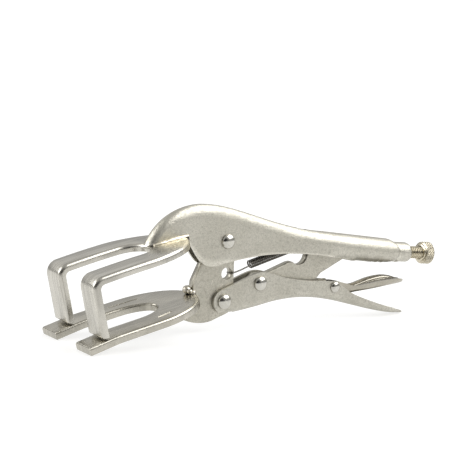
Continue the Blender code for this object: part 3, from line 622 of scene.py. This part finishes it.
def make_upper_handle():
    rings = []
    count = (NOSE_SPAN + BACK_SPAN) * 3
    for k in range(count + 1):
        u = k / 3
        before, after = Vector(crest_at(max(u - 0.3, 0))), Vector(crest_at(min(u + 0.3, 20)))
        along = (after - before).normalized()
        if u < 1:
            along = (Vector((-FORK_SLOPE, 1.0)).normalized() * (1 - u) + along * u).normalized()
        crest = crest_at(u)
        crown = 1.0 + 0.7 * ease(u, 4.0, 8.0) * (1 - ease(crest[0], 35.0, CURL_START))
        rings.append(body_section(crest, (along.y, -along.x), edge_at(u), half_width(crest[0]), 0.0, SHEET,
                                  crown))
    stations = [64.5, 67, 69, 71, 73, 75.5, 78, 79.5, 81, 82.5, 84, 86, 88.5, 92, 94]
    stations += [95 + 0.75 * i for i in range(12)] + [TUBE_END - 0.5]
    shoulder = NECK_START - TUBE_END
    stations += [TUBE_END + shoulder * i / 12 for i in range(1, 13)]
    stations += [NECK_START + 3.2 + 0.45 * i for i in range(11)] + [BODY_REACH - 2.2]
    for x in stations:
        ring = body_section((x, crest_of_tube(x)), (0, -1), (x, keel_of_tube(x)), half_width(x),
                            curl_of_walls(x), sheet_at(x))
        bulge = SHOULDER_BULGE * ease(x, TUBE_END, NECK_START) * (x <= NECK_START)
        rings.append([(px + bulge * (y / half_width(x)) ** 2, y, z) for px, y, z in ring])
    for back_off, inset in ((1.8, 0.08), (1.4, 0.25), (0.95, 0.5), (0.6, 0.75), (0.25, 1.05), (0.0, 1.35)):
        x = BODY_REACH - back_off
        rings.append(body_section((x, crest_of_tube(x) - inset), (0, -1), (x, keel_of_tube(x) + inset),
                                  NECK_R - inset, curl_of_walls(x), NECK_R - inset - NECK_BORE))
    obj = make_object("upper_handle_shell", loft(rings), sharp=50)
    top = min((crest_at(10 + i / 20) for i in range(201)), key=lambda point: abs(point[0] - TAB_X))[1]
    half = TAB_WIDTH / 2
    window = [(TAB_X - TAB_DEPTH, top - 4.0), (TAB_X - 0.8, top - 4.0), (TAB_X - 0.8, top + 5.0),
              (TAB_X - TAB_DEPTH, top + 5.0)]
    combine(obj, prism(window, -half, half), 'DIFFERENCE')
    thick = SHEET * 0.8
    bottom = top - SHEET - TAB_DEPTH
    tab = [(TAB_X - 0.2, top - SHEET * 0.7), (TAB_X - 0.2, bottom), (TAB_X - 0.2 + thick, bottom),
           (TAB_X - 0.2 + thick, top - SHEET * 0.7)]
    combine(obj, prism(tab, -half + 0.2, half - 0.2), 'UNION')
    soften(obj, 0.22, 2, 50)
    finish_piece(obj, "body", "handle_steel", [handle_metal], "upper_handle")


# ---- forks ---------------------------------------------------------------------------------------
def fork_blank(root_x, root_half_length, slot_front, slot_round, tip_x):
    points = []
    centre = root_x - root_half_length
    for i in range(49):
        angle = math.radians(90 - 180 * i / 48)
        points.append((centre + root_half_length * math.cos(angle), FORK_HALF * math.sin(angle)))
    points += [(tip_x, -FORK_HALF), (tip_x, -SLOT_HALF)]
    for i in range(33):
        angle = math.radians(-90 + 180 * i / 32)
        points.append((slot_front - slot_round + slot_round * math.cos(angle), SLOT_HALF * math.sin(angle)))
    points += [(tip_x, SLOT_HALF), (tip_x, FORK_HALF)]
    return points


def bent_plate(outline, path, folds, roll):
    """Plate punched from above, with its top edges rolled over, then bent along the path."""
    bm = bmesh.new()
    face = bm.faces.new([bm.verts.new((x, y, 0)) for x, y in outline])
    made = bmesh.ops.extrude_face_region(bm, geom=[face])
    lower = [item for item in made["geom"] if isinstance(item, bmesh.types.BMVert)]
    bmesh.ops.translate(bm, verts=lower, vec=(0, 0, -FORK))
    rim = [edge for edge in bm.edges if all(vert.co.z > -1e-6 for vert in edge.verts)]
    bmesh.ops.bevel(bm, geom=rim, offset=roll, segments=6, profile=0.5, affect='EDGES')
    bmesh.ops.recalc_face_normals(bm, faces=bm.faces)
    bm.normal_update()
    for face in bm.faces:
        up = face.normal.z
        # slot 2 is the lowest strip of each rolled-over rim: the upper fork paints a shade line there, the
        # lower fork a highlight
        face.material_index = 1 if abs(up) < 0.03 else 2 if 0 < up < 0.40 else 0
    for fold in folds:
        geometry = bm.verts[:] + bm.edges[:] + bm.faces[:]
        bmesh.ops.bisect_plane(bm, geom=geometry, dist=1e-5, plane_co=(fold, 0, 0), plane_no=(1, 0, 0))
    for vert in bm.verts:
        x, z, angle = path(vert.co.x)
        depth = vert.co.z
        vert.co = (x - depth * math.sin(angle), vert.co.y, z + depth * math.cos(angle))
    return bm


def bend_path(pieces):
    start_x, start_z, start_angle = pieces[0]

    def path(s):
        x, z, angle = start_x, start_z, start_angle
        left = start_x - s
        for length, turn in pieces[1:]:
            step = min(left, length)
            turned_by = math.radians(turn) * step / length
            middle = angle + turned_by / 2
            chord = step
            if abs(turned_by) > 1e-6:
                chord = step * math.sin(turned_by / 2) / (turned_by / 2)
            x -= chord * math.cos(middle)
            z -= chord * math.sin(middle)
            angle += turned_by
            left -= step
            if left <= 0:
                break
        return x, z, angle

    return path


def make_upper_fork():
    slope = math.atan(FORK_SLOPE)
    droop_angle, bend_radius, plain = 4.0, 6.5, 25.0
    bend_angle = 90.0 + LEG_LEAN - droop_angle - math.degrees(slope)
    bend_length = bend_radius * math.radians(bend_angle)
    droop = LEG_REACH + TONGUE_FRONT - plain - bend_radius + 3.4
    path = bend_path([(TONGUE_FRONT, TONGUE_HEIGHT, slope), (plain, 0.0), (droop, droop_angle),
                      (bend_length, bend_angle), (100.0, 0.0)])
    fold_start = TONGUE_FRONT - plain - droop
    fold_end = fold_start - bend_length
    leg_top = path(fold_end)
    leg = (leg_top[1] - LEG_FOOT) / math.sin(leg_top[2])
    outline = fork_blank(TONGUE_FRONT, 36.0, -45.5, 11.0, fold_end - leg)
    folds = [TONGUE_FRONT - plain - droop * i / 6 for i in range(7)]
    folds += [fold_start - bend_length * i / 20 for i in range(1, 21)]
    obj = make_object("upper_fork_plate", bent_plate(outline, path, folds, 2.0), 40)
    soften(obj, 0.4, 2)
    finish_piece(obj, "body", "fork_steel", [fork_metal, edge_metal, painted_shade_line_metal], "upper_jaw_fork")


def lower_fork_top(x):
    return LOWER_ROOT_HEIGHT + LOWER_SLOPE * (x - LOWER_ROOT)


def scratch(obj, start, end, half, depth):
    """Shallow slot pressed into the lower fork's top, between two places in the plan view."""
    (x0, y0), (x1, y1) = start, end
    way = Vector((x1 - x0, y1 - y0)).normalized()
    side = Vector((-way.y, way.x)) * half
    outline = []
    for (x, y), angle in ((start, 90), (end, -90)):
        for i in range(9):
            turn = math.radians(angle + 22.5 * i)
            outline.append((x + way.x * half * math.cos(turn) + side.x * math.sin(turn),
                            y + way.y * half * math.cos(turn) + side.y * math.sin(turn)))
    bm = bmesh.new()
    low = [bm.verts.new((x, y, lower_fork_top(x) - depth)) for x, y in outline]
    high = [bm.verts.new((x, y, lower_fork_top(x) + 2.0)) for x, y in outline]
    bm.faces.new(low)
    bm.faces.new(reversed(high))
    for i in range(len(outline)):
        j = (i + 1) % len(outline)
        bm.faces.new((low[j], low[i], high[i], high[j]))
    combine(obj, bm, 'DIFFERENCE')


def make_lower_fork():
    slope = math.atan(LOWER_SLOPE)
    plain = 56.5
    path = bend_path([(LOWER_ROOT, LOWER_ROOT_HEIGHT, slope), (plain, 0.0), (3.0, 4.5), (23.0, 0.0)])
    tip = LOWER_ROOT - plain - 3.0
    while path(tip)[0] > -JAW_REACH:
        tip -= 0.1
    outline = fork_blank(LOWER_ROOT, 32.5, -40.0, 16.0, tip)
    folds = [LOWER_ROOT - plain - 0.5 * i for i in range(7)]
    obj = make_object("lower_fork_plate", bent_plate(outline, path, folds, 1.3), 40)
    scratch(obj, (-56.5, 17.4), (-41.0, 16.6), 0.55, 0.35)
    scratch(obj, (-48.0, -18.9), (-40.6, -17.6), 0.6, 0.4)
    soften(obj, 0.35, 2)
    finish_piece(obj, "lower_jaw", "fork_steel", [lower_fork_metal, edge_metal, worn_rim_highlight_metal], "lower_jaw_fork")


# ---- the lower jaw plate -------------------------------------------------------------------------
def make_jaw_plate():
    notch_back = LOWER_ROOT + SEAT
    notch_top = lower_fork_top(notch_back) + SEAT
    notch_lean = FORK * math.sin(math.atan(LOWER_SLOPE))
    outline = arc((0, 0), 9.0, 175, 20, 16)
    outline += [(8.4, -2.0), (5.5, -9.0), (5.5, -21.0)]
    outline += arc(HANDLE_PIVOT, 7.4, 20, -70, 12)
    outline += bezier((-4.5, -40.4), (-10.0, -43.0), (-19.0, -42.6), (-27.0, -38.0), 16)
    below = notch_top - FORK * math.sqrt(1 + LOWER_SLOPE ** 2) - 2 * SEAT
    outline += [(notch_back - 9.0, below - LOWER_SLOPE * 9.0),
                (notch_back + notch_lean, below + LOWER_SLOPE * notch_lean), (notch_back, notch_top),
                (notch_back - 1.8, notch_top - LOWER_SLOPE * 1.8), (-18.4, -20.0), (-14.3, -11.5),
                (-11.0, -5.0)]
    obj = make_object("jaw_plate", prism(outline, -PLATE / 2, PLATE / 2))
    hole(obj, (0, 0), RIVET_R + HOLE_PLAY)
    hole(obj, HANDLE_PIVOT, RIVET_R + HOLE_PLAY)
    hole(obj, SPRING_HOLE, SPRING_HOLE_R)
    soften(obj, 0.3, 2)
    flat_sides(obj)
    finish_piece(obj, "lower_jaw", "fork_steel", [plate_metal], "lower_jaw_plate")


# ---- the lower handle ----------------------------------------------------------------------------
def handle_half(x):
    half = HEAD_HALF + 1.1 * ease(x, 30.0, 58.0) + 1.2 * ease(x, 75.0, 95.0)
    return half - 3.2 * ease(x, HANDLE_REACH - 9, HANDLE_REACH + 3)


KEEL = smooth_through([(-8.0, -38.4), (6.0, -38.0), (20.0, -36.1), (33.0, -33.9), (46.0, -33.1),
                       (58.0, -33.9), (70.0, -36.2), (82.0, -39.3), (94.0, -42.5), (106.0, -45.2),
                       (HANDLE_REACH, FLOOR)], 8)


def channel_ring(x, half, keel, rim, radius, sheet, steps=8):
    """Open-topped channel with rounded lower corners."""
    def path(inset):
        points = [(0.0, keel + inset)]
        bend = max(radius - inset, 0.1)
        for i in range(steps + 1):
            angle = math.pi / 2 * i / steps
            points.append((half - radius + bend * math.sin(angle), keel + radius - bend * math.cos(angle)))
        for t in (0.25, 0.5, 0.75, 1.0):
            points.append((half - inset, keel + radius + (rim - keel - radius) * t))
        return points

    outer, inner = path(0.0), path(sheet)
    ring = [(x, y, z) for y, z in reversed(outer)]
    ring += [(x, -y, z) for y, z in outer[1:]]
    ring += [(x, -y, z) for y, z in reversed(inner)]
    ring += [(x, y, z) for y, z in inner[1:]]
    return ring


def handle_outline():
    px, pz = HANDLE_PIVOT
    ear = 6.4
    outline = arc((px, pz), ear, 260, 110, 30)
    top = [(5.0, -22.6), (17.0, -18.3), (23.2, -17.5), (29.5, -18.8), (38.0, -21.4), (51.0, -23.6),
           (62.0, -24.6), (69.0, -25.5), (75.0, -28.5), (82.0, -32.9), (94.0, -37.6), (106.0, -41.6),
           (HANDLE_REACH - 2.0, FLOOR + 2.3)]
    outline += smooth_through(top, 6)
    outline += [(HANDLE_REACH, FLOOR + 1.2), (HANDLE_REACH, FLOOR - 3), (40.0, FLOOR - 3), (7.0, -45.0)]
    outline += [(6.4, -37.0), (3.0, pz - ear + 0.3)]
    return outline


def make_lower_handle():
    stations = [-8.5 + 2.5 * i for i in range(48)] + [110.5, 112.5, 114.5, 116.0, 117.5, HANDLE_REACH]
    stations = [x for x in stations if x <= HANDLE_REACH]
    stations = sorted(set(stations))
    rings = []
    for x in stations:
        keel = on_curve(KEEL, x)
        half = handle_half(x)
        rings.append(channel_ring(x, half, keel, max(keel + 30.0, -10.0), min(4.3, half - 0.4), SHEET, 10))
    obj = make_object("lower_handle_shell", loft(rings), 50)
    wide = TUBE_HALF * 2
    combine(obj, prism(handle_outline(), -wide, wide), 'INTERSECT')
    inside = HEAD_HALF - SHEET
    slot = [(-20.0, -50.0), (6.6, -50.0), (6.6, -25.0), (-20.0, -25.0)]
    combine(obj, prism(slot, -inside, inside), 'DIFFERENCE')
    hole(obj, HANDLE_PIVOT, RIVET_R + HOLE_PLAY)
    for polygon in obj.data.polygons:
        x, z = ((value / MM) for value in (polygon.center.x - ORIGIN.x, polygon.center.z - ORIGIN.z))
        rim = (abs(polygon.normal.y) < 0.3 and polygon.normal.z > 0.2
               and z > on_curve(KEEL, x) + SHEET + 0.3)
        polygon.material_index = 1 if rim else 0
    soften(obj, 0.22, 2, 50)
    finish_piece(obj, "handle", "handle_steel", [handle_metal, rim_metal], "lower_handle")


# ---- toggle link and release lever ---------------------------------------------------------------
def make_toggle_link():
    tip = (LINK_TIP_X - 4.0, axis_height(LINK_TIP_X) + 0.2)
    outline = arc(TOGGLE_PIVOT, 5.6, 250, 115, 16)
    outline += [(27.0, -18.2), (40.4, -13.6), (42.6, -13.4)]
    outline += arc((46.9, -10.4), 4.9, 225, 350, 16)
    outline += [(53.0, -8.6), (60.0, -7.6)]
    outline += arc(tip, 4.0, 100, -80, 16)
    outline += [(66.1, -18.4), (61.4, -20.6), (58.3, -23.8), (55.0, -25.6), (44.0, -26.6), (30.0, -28.6)]
    obj = make_object("toggle_bar", prism(outline, -PLATE / 2, PLATE / 2))
    hole(obj, TOGGLE_PIVOT, RIVET_R + HOLE_PLAY)
    soften(obj, 0.3, 2)
    flat_sides(obj)
    finish_piece(obj, "link", "fork_steel", [plate_metal], "toggle_link")


def make_release_lever():
    narrow = HEAD_HALF + 1.1 - SHEET - SIDE_PLAY
    keys = [(57.0, narrow, -31.4, -29.0, 2.2), (62.0, narrow, -32.2, -27.3, 2.2),
            (69.3, narrow, -33.0, -25.6, 2.2), (76.0, narrow, -33.3, -26.6, 2.2),
            (82.0, narrow + 0.1, -33.0, -28.5, 2.2), (86.0, narrow + 0.5, -32.6, -28.9, 2.6),
            (92.0, 5.2, -31.9, -28.0, 3.0), (98.0, 6.5, -31.1, -27.0, 3.4),
            (104.0, 7.1, -30.3, -26.3, 3.6), (110.0, 7.0, -29.7, -26.0, 3.6),
            (114.5, 6.0, -29.2, -26.5, 2.6), (117.2, 4.2, -29.1, -27.4, 1.65),
            (118.4, 2.6, -29.1, -27.5, 1.55)]
    rings = [channel_ring(x, half, keel, rim, min(radius, rim - keel - 0.05), LEVER_SHEET)
             for x, half, keel, rim, radius in smooth_through(keys, 4)]
    obj = make_object("release_wing", loft(rings), 50)
    soften(obj, 0.25, 2, 50)
    finish_piece(obj, "lever", "handle_steel", [lever_metal], "release_lever")


# ---- rivets --------------------------------------------------------------------------------------
def make_rivet(name, pivot, stack_half, shank, head_r, head_h, body, node):
    base = stack_half + 0.03
    half = [(base, shank), (base, head_r * 0.96), (base + 0.22, head_r)]
    for i in range(1, 14):
        angle = math.pi / 2 * i / 14
        half.append((base + 0.22 + (head_h - 0.22) * math.sin(angle), head_r * math.cos(angle)))
    profile = [(-d, r) for d, r in reversed(half)] + half
    obj = make_object(name, turned(profile, (pivot[0], 0, pivot[1]), (0, 1, 0)), 50)
    finish_piece(obj, body, "rivet_steel", [rivet_metal], node)


# ---- welds ---------------------------------------------------------------------------------------
def lump(rings, shift, seed):
    """Unevenness of weld metal on a lofted shape."""
    out = []
    for ring in rings:
        row = []
        for point in ring:
            p = Vector(point)
            row.append(p + noise.noise_vector(p * 0.9 + Vector((seed, 0, 0))) * shift)
        out.append(row)
    return out


def fillet(points, depth, height, shift, seed):
    """Bead of weld metal in the corner between a wall and a plate, along a row of (place, out, up)."""
    rings = []
    count = len(points)
    for i, (point, out, up) in enumerate(points):
        t = i / (count - 1)
        swell = 0.35 + 0.65 * math.sin(math.pi * min(max(t, 0.02), 0.98)) ** 0.5
        point, out, up = Vector(point), Vector(out), Vector(up)
        ring = []
        for k in range(15):
            angle = math.pi / 2 * k / 14
            a, b = depth * swell * math.cos(angle) ** 0.8, height * swell * math.sin(angle) ** 0.8
            ring.append(point + out * a + up * b)
        ring.append(point - out * 0.3 - up * 0.3)
        rings.append(ring)
    return lump(rings, shift, seed)


def make_welds():
    for name, side, node in (("upper_bead_near", -1, "upper_weld_near"),
                             ("upper_bead_far", 1, "upper_weld_far")):
        points = []
        for i in range(28):
            x = NOSE_X + 2.6 + 20.0 * i / 27
            points.append(((x, side * HEAD_HALF, tongue_top(x)), (0, side, 0), (0.0, 0, 1.0)))
        rings = fillet(points, 1.7, 1.5, 0.16, 3.0 * side)
        obj = make_object(name, loft(rings), 60)
        finish_piece(obj, "body", "weld_metal", [gold_weld], node)
    for name, side, node in (("lower_bead_near", -1, "lower_weld_near"),
                             ("lower_bead_far", 1, "lower_weld_far")):
        points = []
        for i in range(14):
            x = LOWER_ROOT - 2.6 + 2.6 * i / 13
            points.append(((x, side * PLATE / 2, lower_fork_top(x)), (0, side, 0), (0.0, 0, 1.0)))
        obj = make_object(name, loft(fillet(points, 1.4, 1.6, 0.12, 5.0 * side)), 60)
        finish_piece(obj, "lower_jaw", "weld_metal", [grey_weld], node)
    x = LOWER_ROOT - 1.1 - SEAT - 2.31
    z = lower_fork_top(x) + SEAT + 1.9
    lumps = []
    for centre, radius, reach in (((x, 0, z), 2.25, 1.15), ((x + 0.5, -2.2, z - 0.6), 1.5, 1.1)):
        profile = []
        for i in range(21):
            angle = math.pi * (i + 0.3) / 20.6
            profile.append((-radius * reach * math.cos(angle), radius * math.sin(angle)))
        lump_mesh = turned(profile, centre, (0.3, 1, 0), 28)
        for vert in lump_mesh.verts:
            vert.co += noise.noise_vector(vert.co * 0.4) * 0.22
        lumps.append(lump_mesh)
    bm = lumps[0]
    obj = make_object("front_bead", bm, 60)
    combine(obj, lumps[1], 'UNION')
    finish_piece(obj, "lower_jaw", "weld_metal", [grey_weld], "lower_weld_front")


# ---- adjusting screw and knob --------------------------------------------------------------------
def make_screw():
    along = Vector((1, 0, SCREW_SLOPE)).normalized()
    side = Vector((0, 1, 0))
    other = along.cross(side)
    tip_x = LINK_TIP_X + LINK_CLEARANCE
    tip = Vector((tip_x, 0, axis_height(tip_x)))
    knob = Vector((KNOB_FRONT, 0, axis_height(KNOB_FRONT)))
    length = (knob - tip).length + 0.4
    pitch, depth, count = 1.25, 0.62, 40
    steps = int(length / pitch * 8)
    rings = []
    for i in range(steps + 1):
        s = length * i / steps
        ring = []
        for k in range(count):
            angle = 2 * math.pi * k / count
            phase = (s / pitch + k / count) % 1.0
            tooth = 1 - abs(2 * phase - 1)
            radius = (SCREW_R - depth * (1 - min(tooth * 1.35, 1.0)) * ease(s, 0.8, 2.0)
                      - 1.3 * (1 - ease(s, 0.0, 1.4)))
            ring.append(tip + along * s + (side * math.cos(angle) + other * math.sin(angle)) * radius)
        rings.append(ring)
    obj = make_object("threaded_shank", loft(rings), 60)
    finish_piece(obj, "screw", "screw_steel", [screw_metal], "adjusting_screw")

    bore = SCREW_R + 0.12
    count = 120
    profile = [(2.0, bore), (0.35, bore), (0.0, bore + 0.35), (0.0, 4.7), (0.2, 4.95), (0.75, 4.95),
               (0.8, 4.7), (1.0, 4.7), (1.05, 5.3), (1.5, 5.95)]
    knurl_from, knurl_to = 1.6, KNOB_LENGTH - 0.55
    rings = []

    def ring_at(s, radius_of):
        ring = []
        for k in range(count):
            angle = 2 * math.pi * k / count
            direction = side * math.cos(angle) + other * math.sin(angle)
            ring.append(knob + along * s + direction * radius_of(angle))
        return ring

    for s, radius in profile:
        rings.append(ring_at(s, lambda angle, radius=radius: radius))
    teeth = 26
    for i in range(41):
        t = i / 40
        s = knurl_from + (knurl_to - knurl_from) * t

        def knurled(angle, s=s, t=t):
            turn = (s - knurl_from) / 1.45 * 2 * math.pi
            a = abs(math.sin((teeth * angle + turn) / 2))
            b = abs(math.sin((teeth * angle - turn) / 2))
            cut = 0.5 * max((1 - a) ** 2, (1 - b) ** 2) * ease(t, 0.0, 0.06) * (1 - ease(t, 0.94, 1.0))
            return KNOB_R - cut - 0.12 * (1 - ease(t, 0.0, 0.05))
        rings.append(ring_at(s, knurled))
    for s, radius in ((KNOB_LENGTH - 0.35, 6.05), (KNOB_LENGTH - 0.1, 5.75), (KNOB_LENGTH, 5.35)):
        rings.append(ring_at(s, lambda angle, radius=radius: radius))
    obj = make_object("knurled_knob", loft(rings), 45)
    finish_piece(obj, "knob", "screw_steel", [knob_metal], "adjusting_knob")


# ---- return spring -------------------------------------------------------------------------------
def wire(points, radius, sides=8):
    rings = []
    side = Vector((0, 0, 1))
    last = len(points) - 1
    for i, point in enumerate(points):
        tangent = (points[min(i + 1, last)] - points[max(i - 1, 0)]).normalized()
        side = (side - tangent * side.dot(tangent)).normalized()
        other = tangent.cross(side)
        angles = [2 * math.pi * k / sides for k in range(sides)]
        rings.append([point + (side * math.cos(a) + other * math.sin(a)) * radius for a in angles])
    return loft(rings)


def make_spring():
    start = Vector((SPRING_HOLE[0] + SPRING_HOLE_R - SEAT - SPRING_WIRE_R, 0, SPRING_HOLE[1]))
    end = Vector((TAB_X + SHEET + SEAT + SPRING_WIRE_R, 0, TAB_WIRE_HEIGHT))
    along = (end - start).normalized()
    up = Vector((-along.z, 0, along.x))
    across = Vector((0, 1, 0))
    face = PLATE / 2 + SEAT + SPRING_WIRE_R
    pitch = 2 * SPRING_WIRE_R + SPRING_GAP
    turn = 2 * math.pi
    front = [start + across * (PLATE / 2 - 1.0), start - across * (PLATE / 2 - 0.7),
             start + along * 0.35 - across * (face - 0.35), start + along * 1.2 - across * face,
             start + along * 5.5 - across * face, start + along * 9.0 - across * (face - 0.6)]
    per_turn = 18
    steps = SPRING_TURNS * per_turn
    coil = []
    for i in range(steps + 1):
        angle = turn * i / per_turn
        lead = max(1 - angle / turn * 4, 0) ** 2 - max(1 - (SPRING_TURNS * turn - angle) / turn * 4, 0) ** 2
        centre = start + along * (SPRING_LEAD + pitch * angle / turn - lead)
        coil.append(centre + (up * math.sin(angle) - across * math.cos(angle)) * SPRING_R)
    rear = [end - along * 5.0 - across * SPRING_R, end - along * 0.9 - across * SPRING_R,
            end - along * 0.25 - across * (SPRING_R - 0.3), end - across * (SPRING_R - 1.0),
            end + across * 1.2]
    front = [Vector(p) for p in smooth_through([tuple(p) for p in front + coil[:1]], 5)][:-1]
    rear = [Vector(p) for p in smooth_through([tuple(p) for p in coil[-1:] + rear], 5)][1:]
    obj = make_object("spring_coil", wire(front + coil + rear, SPRING_WIRE_R), 60)
    obj.data.materials.clear()
    obj.data.materials.append(spring_metal)
    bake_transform(obj)
    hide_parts("return_spring")


make_upper_handle()
make_upper_fork()
make_lower_fork()
make_jaw_plate()
make_lower_handle()
make_toggle_link()
make_release_lever()
BIG = (RIVET_R, RIVET_HEAD_R, RIVET_HEAD_H)
make_rivet("jaw_rivet_dome", (0, 0), HEAD_HALF, *BIG, "body", "jaw_rivet")
make_rivet("handle_rivet_dome", HANDLE_PIVOT, HEAD_HALF, *BIG, "lower_jaw", "handle_rivet")
make_rivet("toggle_rivet_dome", TOGGLE_PIVOT, HEAD_HALF, *BIG, "handle", "toggle_rivet")
make_rivet("release_rivet_dome", RELEASE_PIVOT, HEAD_HALF + 1.1, SMALL_RIVET_R, SMALL_HEAD_R, SMALL_HEAD_H,
           "handle", "release_rivet")
make_welds()
make_screw()
make_spring()


# ---- studio --------------------------------------------------------------------------------------
def make_floor():
    bm = bmesh.new()
    size = 30.0
    bm.faces.new([bm.verts.new((x, y, 0.0)) for x,
                  y in ((-size, -size), (size, -size), (size, size), (-size, size))])
    mesh = bpy.data.meshes.new("floor")
    bm.to_mesh(mesh)
    bm.free()
    floor = bpy.data.objects.new("floor", mesh)
    bpy.context.scene.collection.objects.link(floor)
    floor.location.z = -0.0002
    n = Nodes("pale_floor")
    away = n.tree.nodes.new("ShaderNodeVectorMath")
    away.operation = 'LENGTH'
    n.tree.links.new(n.coordinates, away.inputs[0])
    far = n.range(away.outputs["Value"], 0.0, 1.0, 0.35, 1.3)
    cloth = n.blend(n.range(n.noise(3.0, 2.0), 0.0, 1.0), (0.30, 0.30, 0.297), (0.28, 0.28, 0.28))
    n.set("Base Color", n.blend(far, cloth, (0.0, 0.0, 0.0)))
    n.set("Emission Color", (1.0, 1.0, 0.995))
    n.set("Emission Strength", n.range(far, 0.70, 1.02, 0.0, 1.0))
    n.set("Roughness", 0.30)
    n.set("Specular IOR Level", 0.3)
    mesh.materials.append(n.material)


def make_world():
    """White room with a softbox band above, darker near the horizon and darkest towards the front."""
    world = bpy.data.worlds.new("room")
    bpy.context.scene.world = world
    world.use_nodes = True
    tree = world.node_tree
    tree.nodes.clear()
    output = tree.nodes.new("ShaderNodeOutputWorld")
    coordinates = tree.nodes.new("ShaderNodeTexCoord")
    split = tree.nodes.new("ShaderNodeSeparateXYZ")
    tree.links.new(coordinates.outputs["Generated"], split.inputs[0])
    ramp = tree.nodes.new("ShaderNodeValToRGB")
    tree.links.new(split.outputs["Z"], ramp.inputs["Fac"])
    stops = [(0.0, 0.55), (0.05, 0.42), (0.16, 0.34), (0.32, 0.55), (0.55, 0.95), (0.85, 0.60)]
    elements = ramp.color_ramp.elements
    while len(elements) < len(stops):
        elements.new(0.5)
    for element, (position, value) in zip(elements, stops):
        element.position = position
        element.color = (value, value * 0.995, value * 0.985, 1.0)
    front = tree.nodes.new("ShaderNodeVectorMath")
    front.operation = 'DOT_PRODUCT'
    tree.links.new(coordinates.outputs["Generated"], front.inputs[0])
    front.inputs[1].default_value = (-0.54, -0.82, 0.16)
    shade = tree.nodes.new("ShaderNodeMapRange")
    tree.links.new(front.outputs["Value"], shade.inputs["Value"])
    for socket, value in (("From Min", 0.62), ("From Max", 0.93), ("To Min", 1.0), ("To Max", 0.04)):
        shade.inputs[socket].default_value = value
    room = tree.nodes.new("ShaderNodeBackground")
    tree.links.new(ramp.outputs["Color"], room.inputs["Color"])
    tree.links.new(shade.outputs["Result"], room.inputs["Strength"])
    white = tree.nodes.new("ShaderNodeBackground")
    white.inputs["Color"].default_value = (1.0, 1.0, 1.0, 1.0)
    white.inputs["Strength"].default_value = 1.02
    path = tree.nodes.new("ShaderNodeLightPath")
    choose = tree.nodes.new("ShaderNodeMixShader")
    tree.links.new(path.outputs["Is Camera Ray"], choose.inputs["Fac"])
    tree.links.new(room.outputs[0], choose.inputs[1])
    tree.links.new(white.outputs[0], choose.inputs[2])
    tree.links.new(choose.outputs[0], output.inputs["Surface"])


def area_light(name, location, target, width, height, watts, colour=(1.0, 1.0, 1.0)):
    light = bpy.data.lights.new(name, 'AREA')
    light.shape = 'RECTANGLE'
    light.size, light.size_y = width, height
    light.energy = watts
    light.color = colour
    obj = bpy.data.objects.new(name, light)
    bpy.context.scene.collection.objects.link(obj)
    obj.location = location
    obj.rotation_euler = (Vector(target) - Vector(location)).to_track_quat('-Z', 'Y').to_euler()


def make_camera():
    turn, dip, roll = math.radians(33.455), math.radians(8.96), math.radians(2.496)
    forward = Vector((math.sin(turn) * math.cos(dip), math.cos(turn) * math.cos(dip), -math.sin(dip)))
    right = Vector((math.cos(turn), -math.sin(turn), 0))
    up = right.cross(forward)
    right, up = right * math.cos(roll) + up * math.sin(roll), up * math.cos(roll) - right * math.sin(roll)
    data = bpy.data.cameras.new("camera")
    data.sensor_width = 36.0
    data.lens = 113.68
    data.clip_start, data.clip_end = 0.05, 100.0
    camera = bpy.data.objects.new("camera", data)
    bpy.context.scene.collection.objects.link(camera)
    basis = Matrix((right, up, -forward)).transposed().to_4x4()
    camera.matrix_world = Matrix.Translation(place((-414.5, -640.0, 122.0))) @ basis
    bpy.context.scene.camera = camera


make_floor()
make_world()
area_light("overhead", (0.72, -0.50, 0.98), (0.0, 0.0, 0.0), 1.5, 1.1, 19.0)
area_light("rear_left", (-1.05, 0.55, 0.62), (0.0, 0.0, 0.03), 0.9, 0.7, 10.0)
make_camera()
bpy.context.scene.view_settings.view_transform = 'Standard'
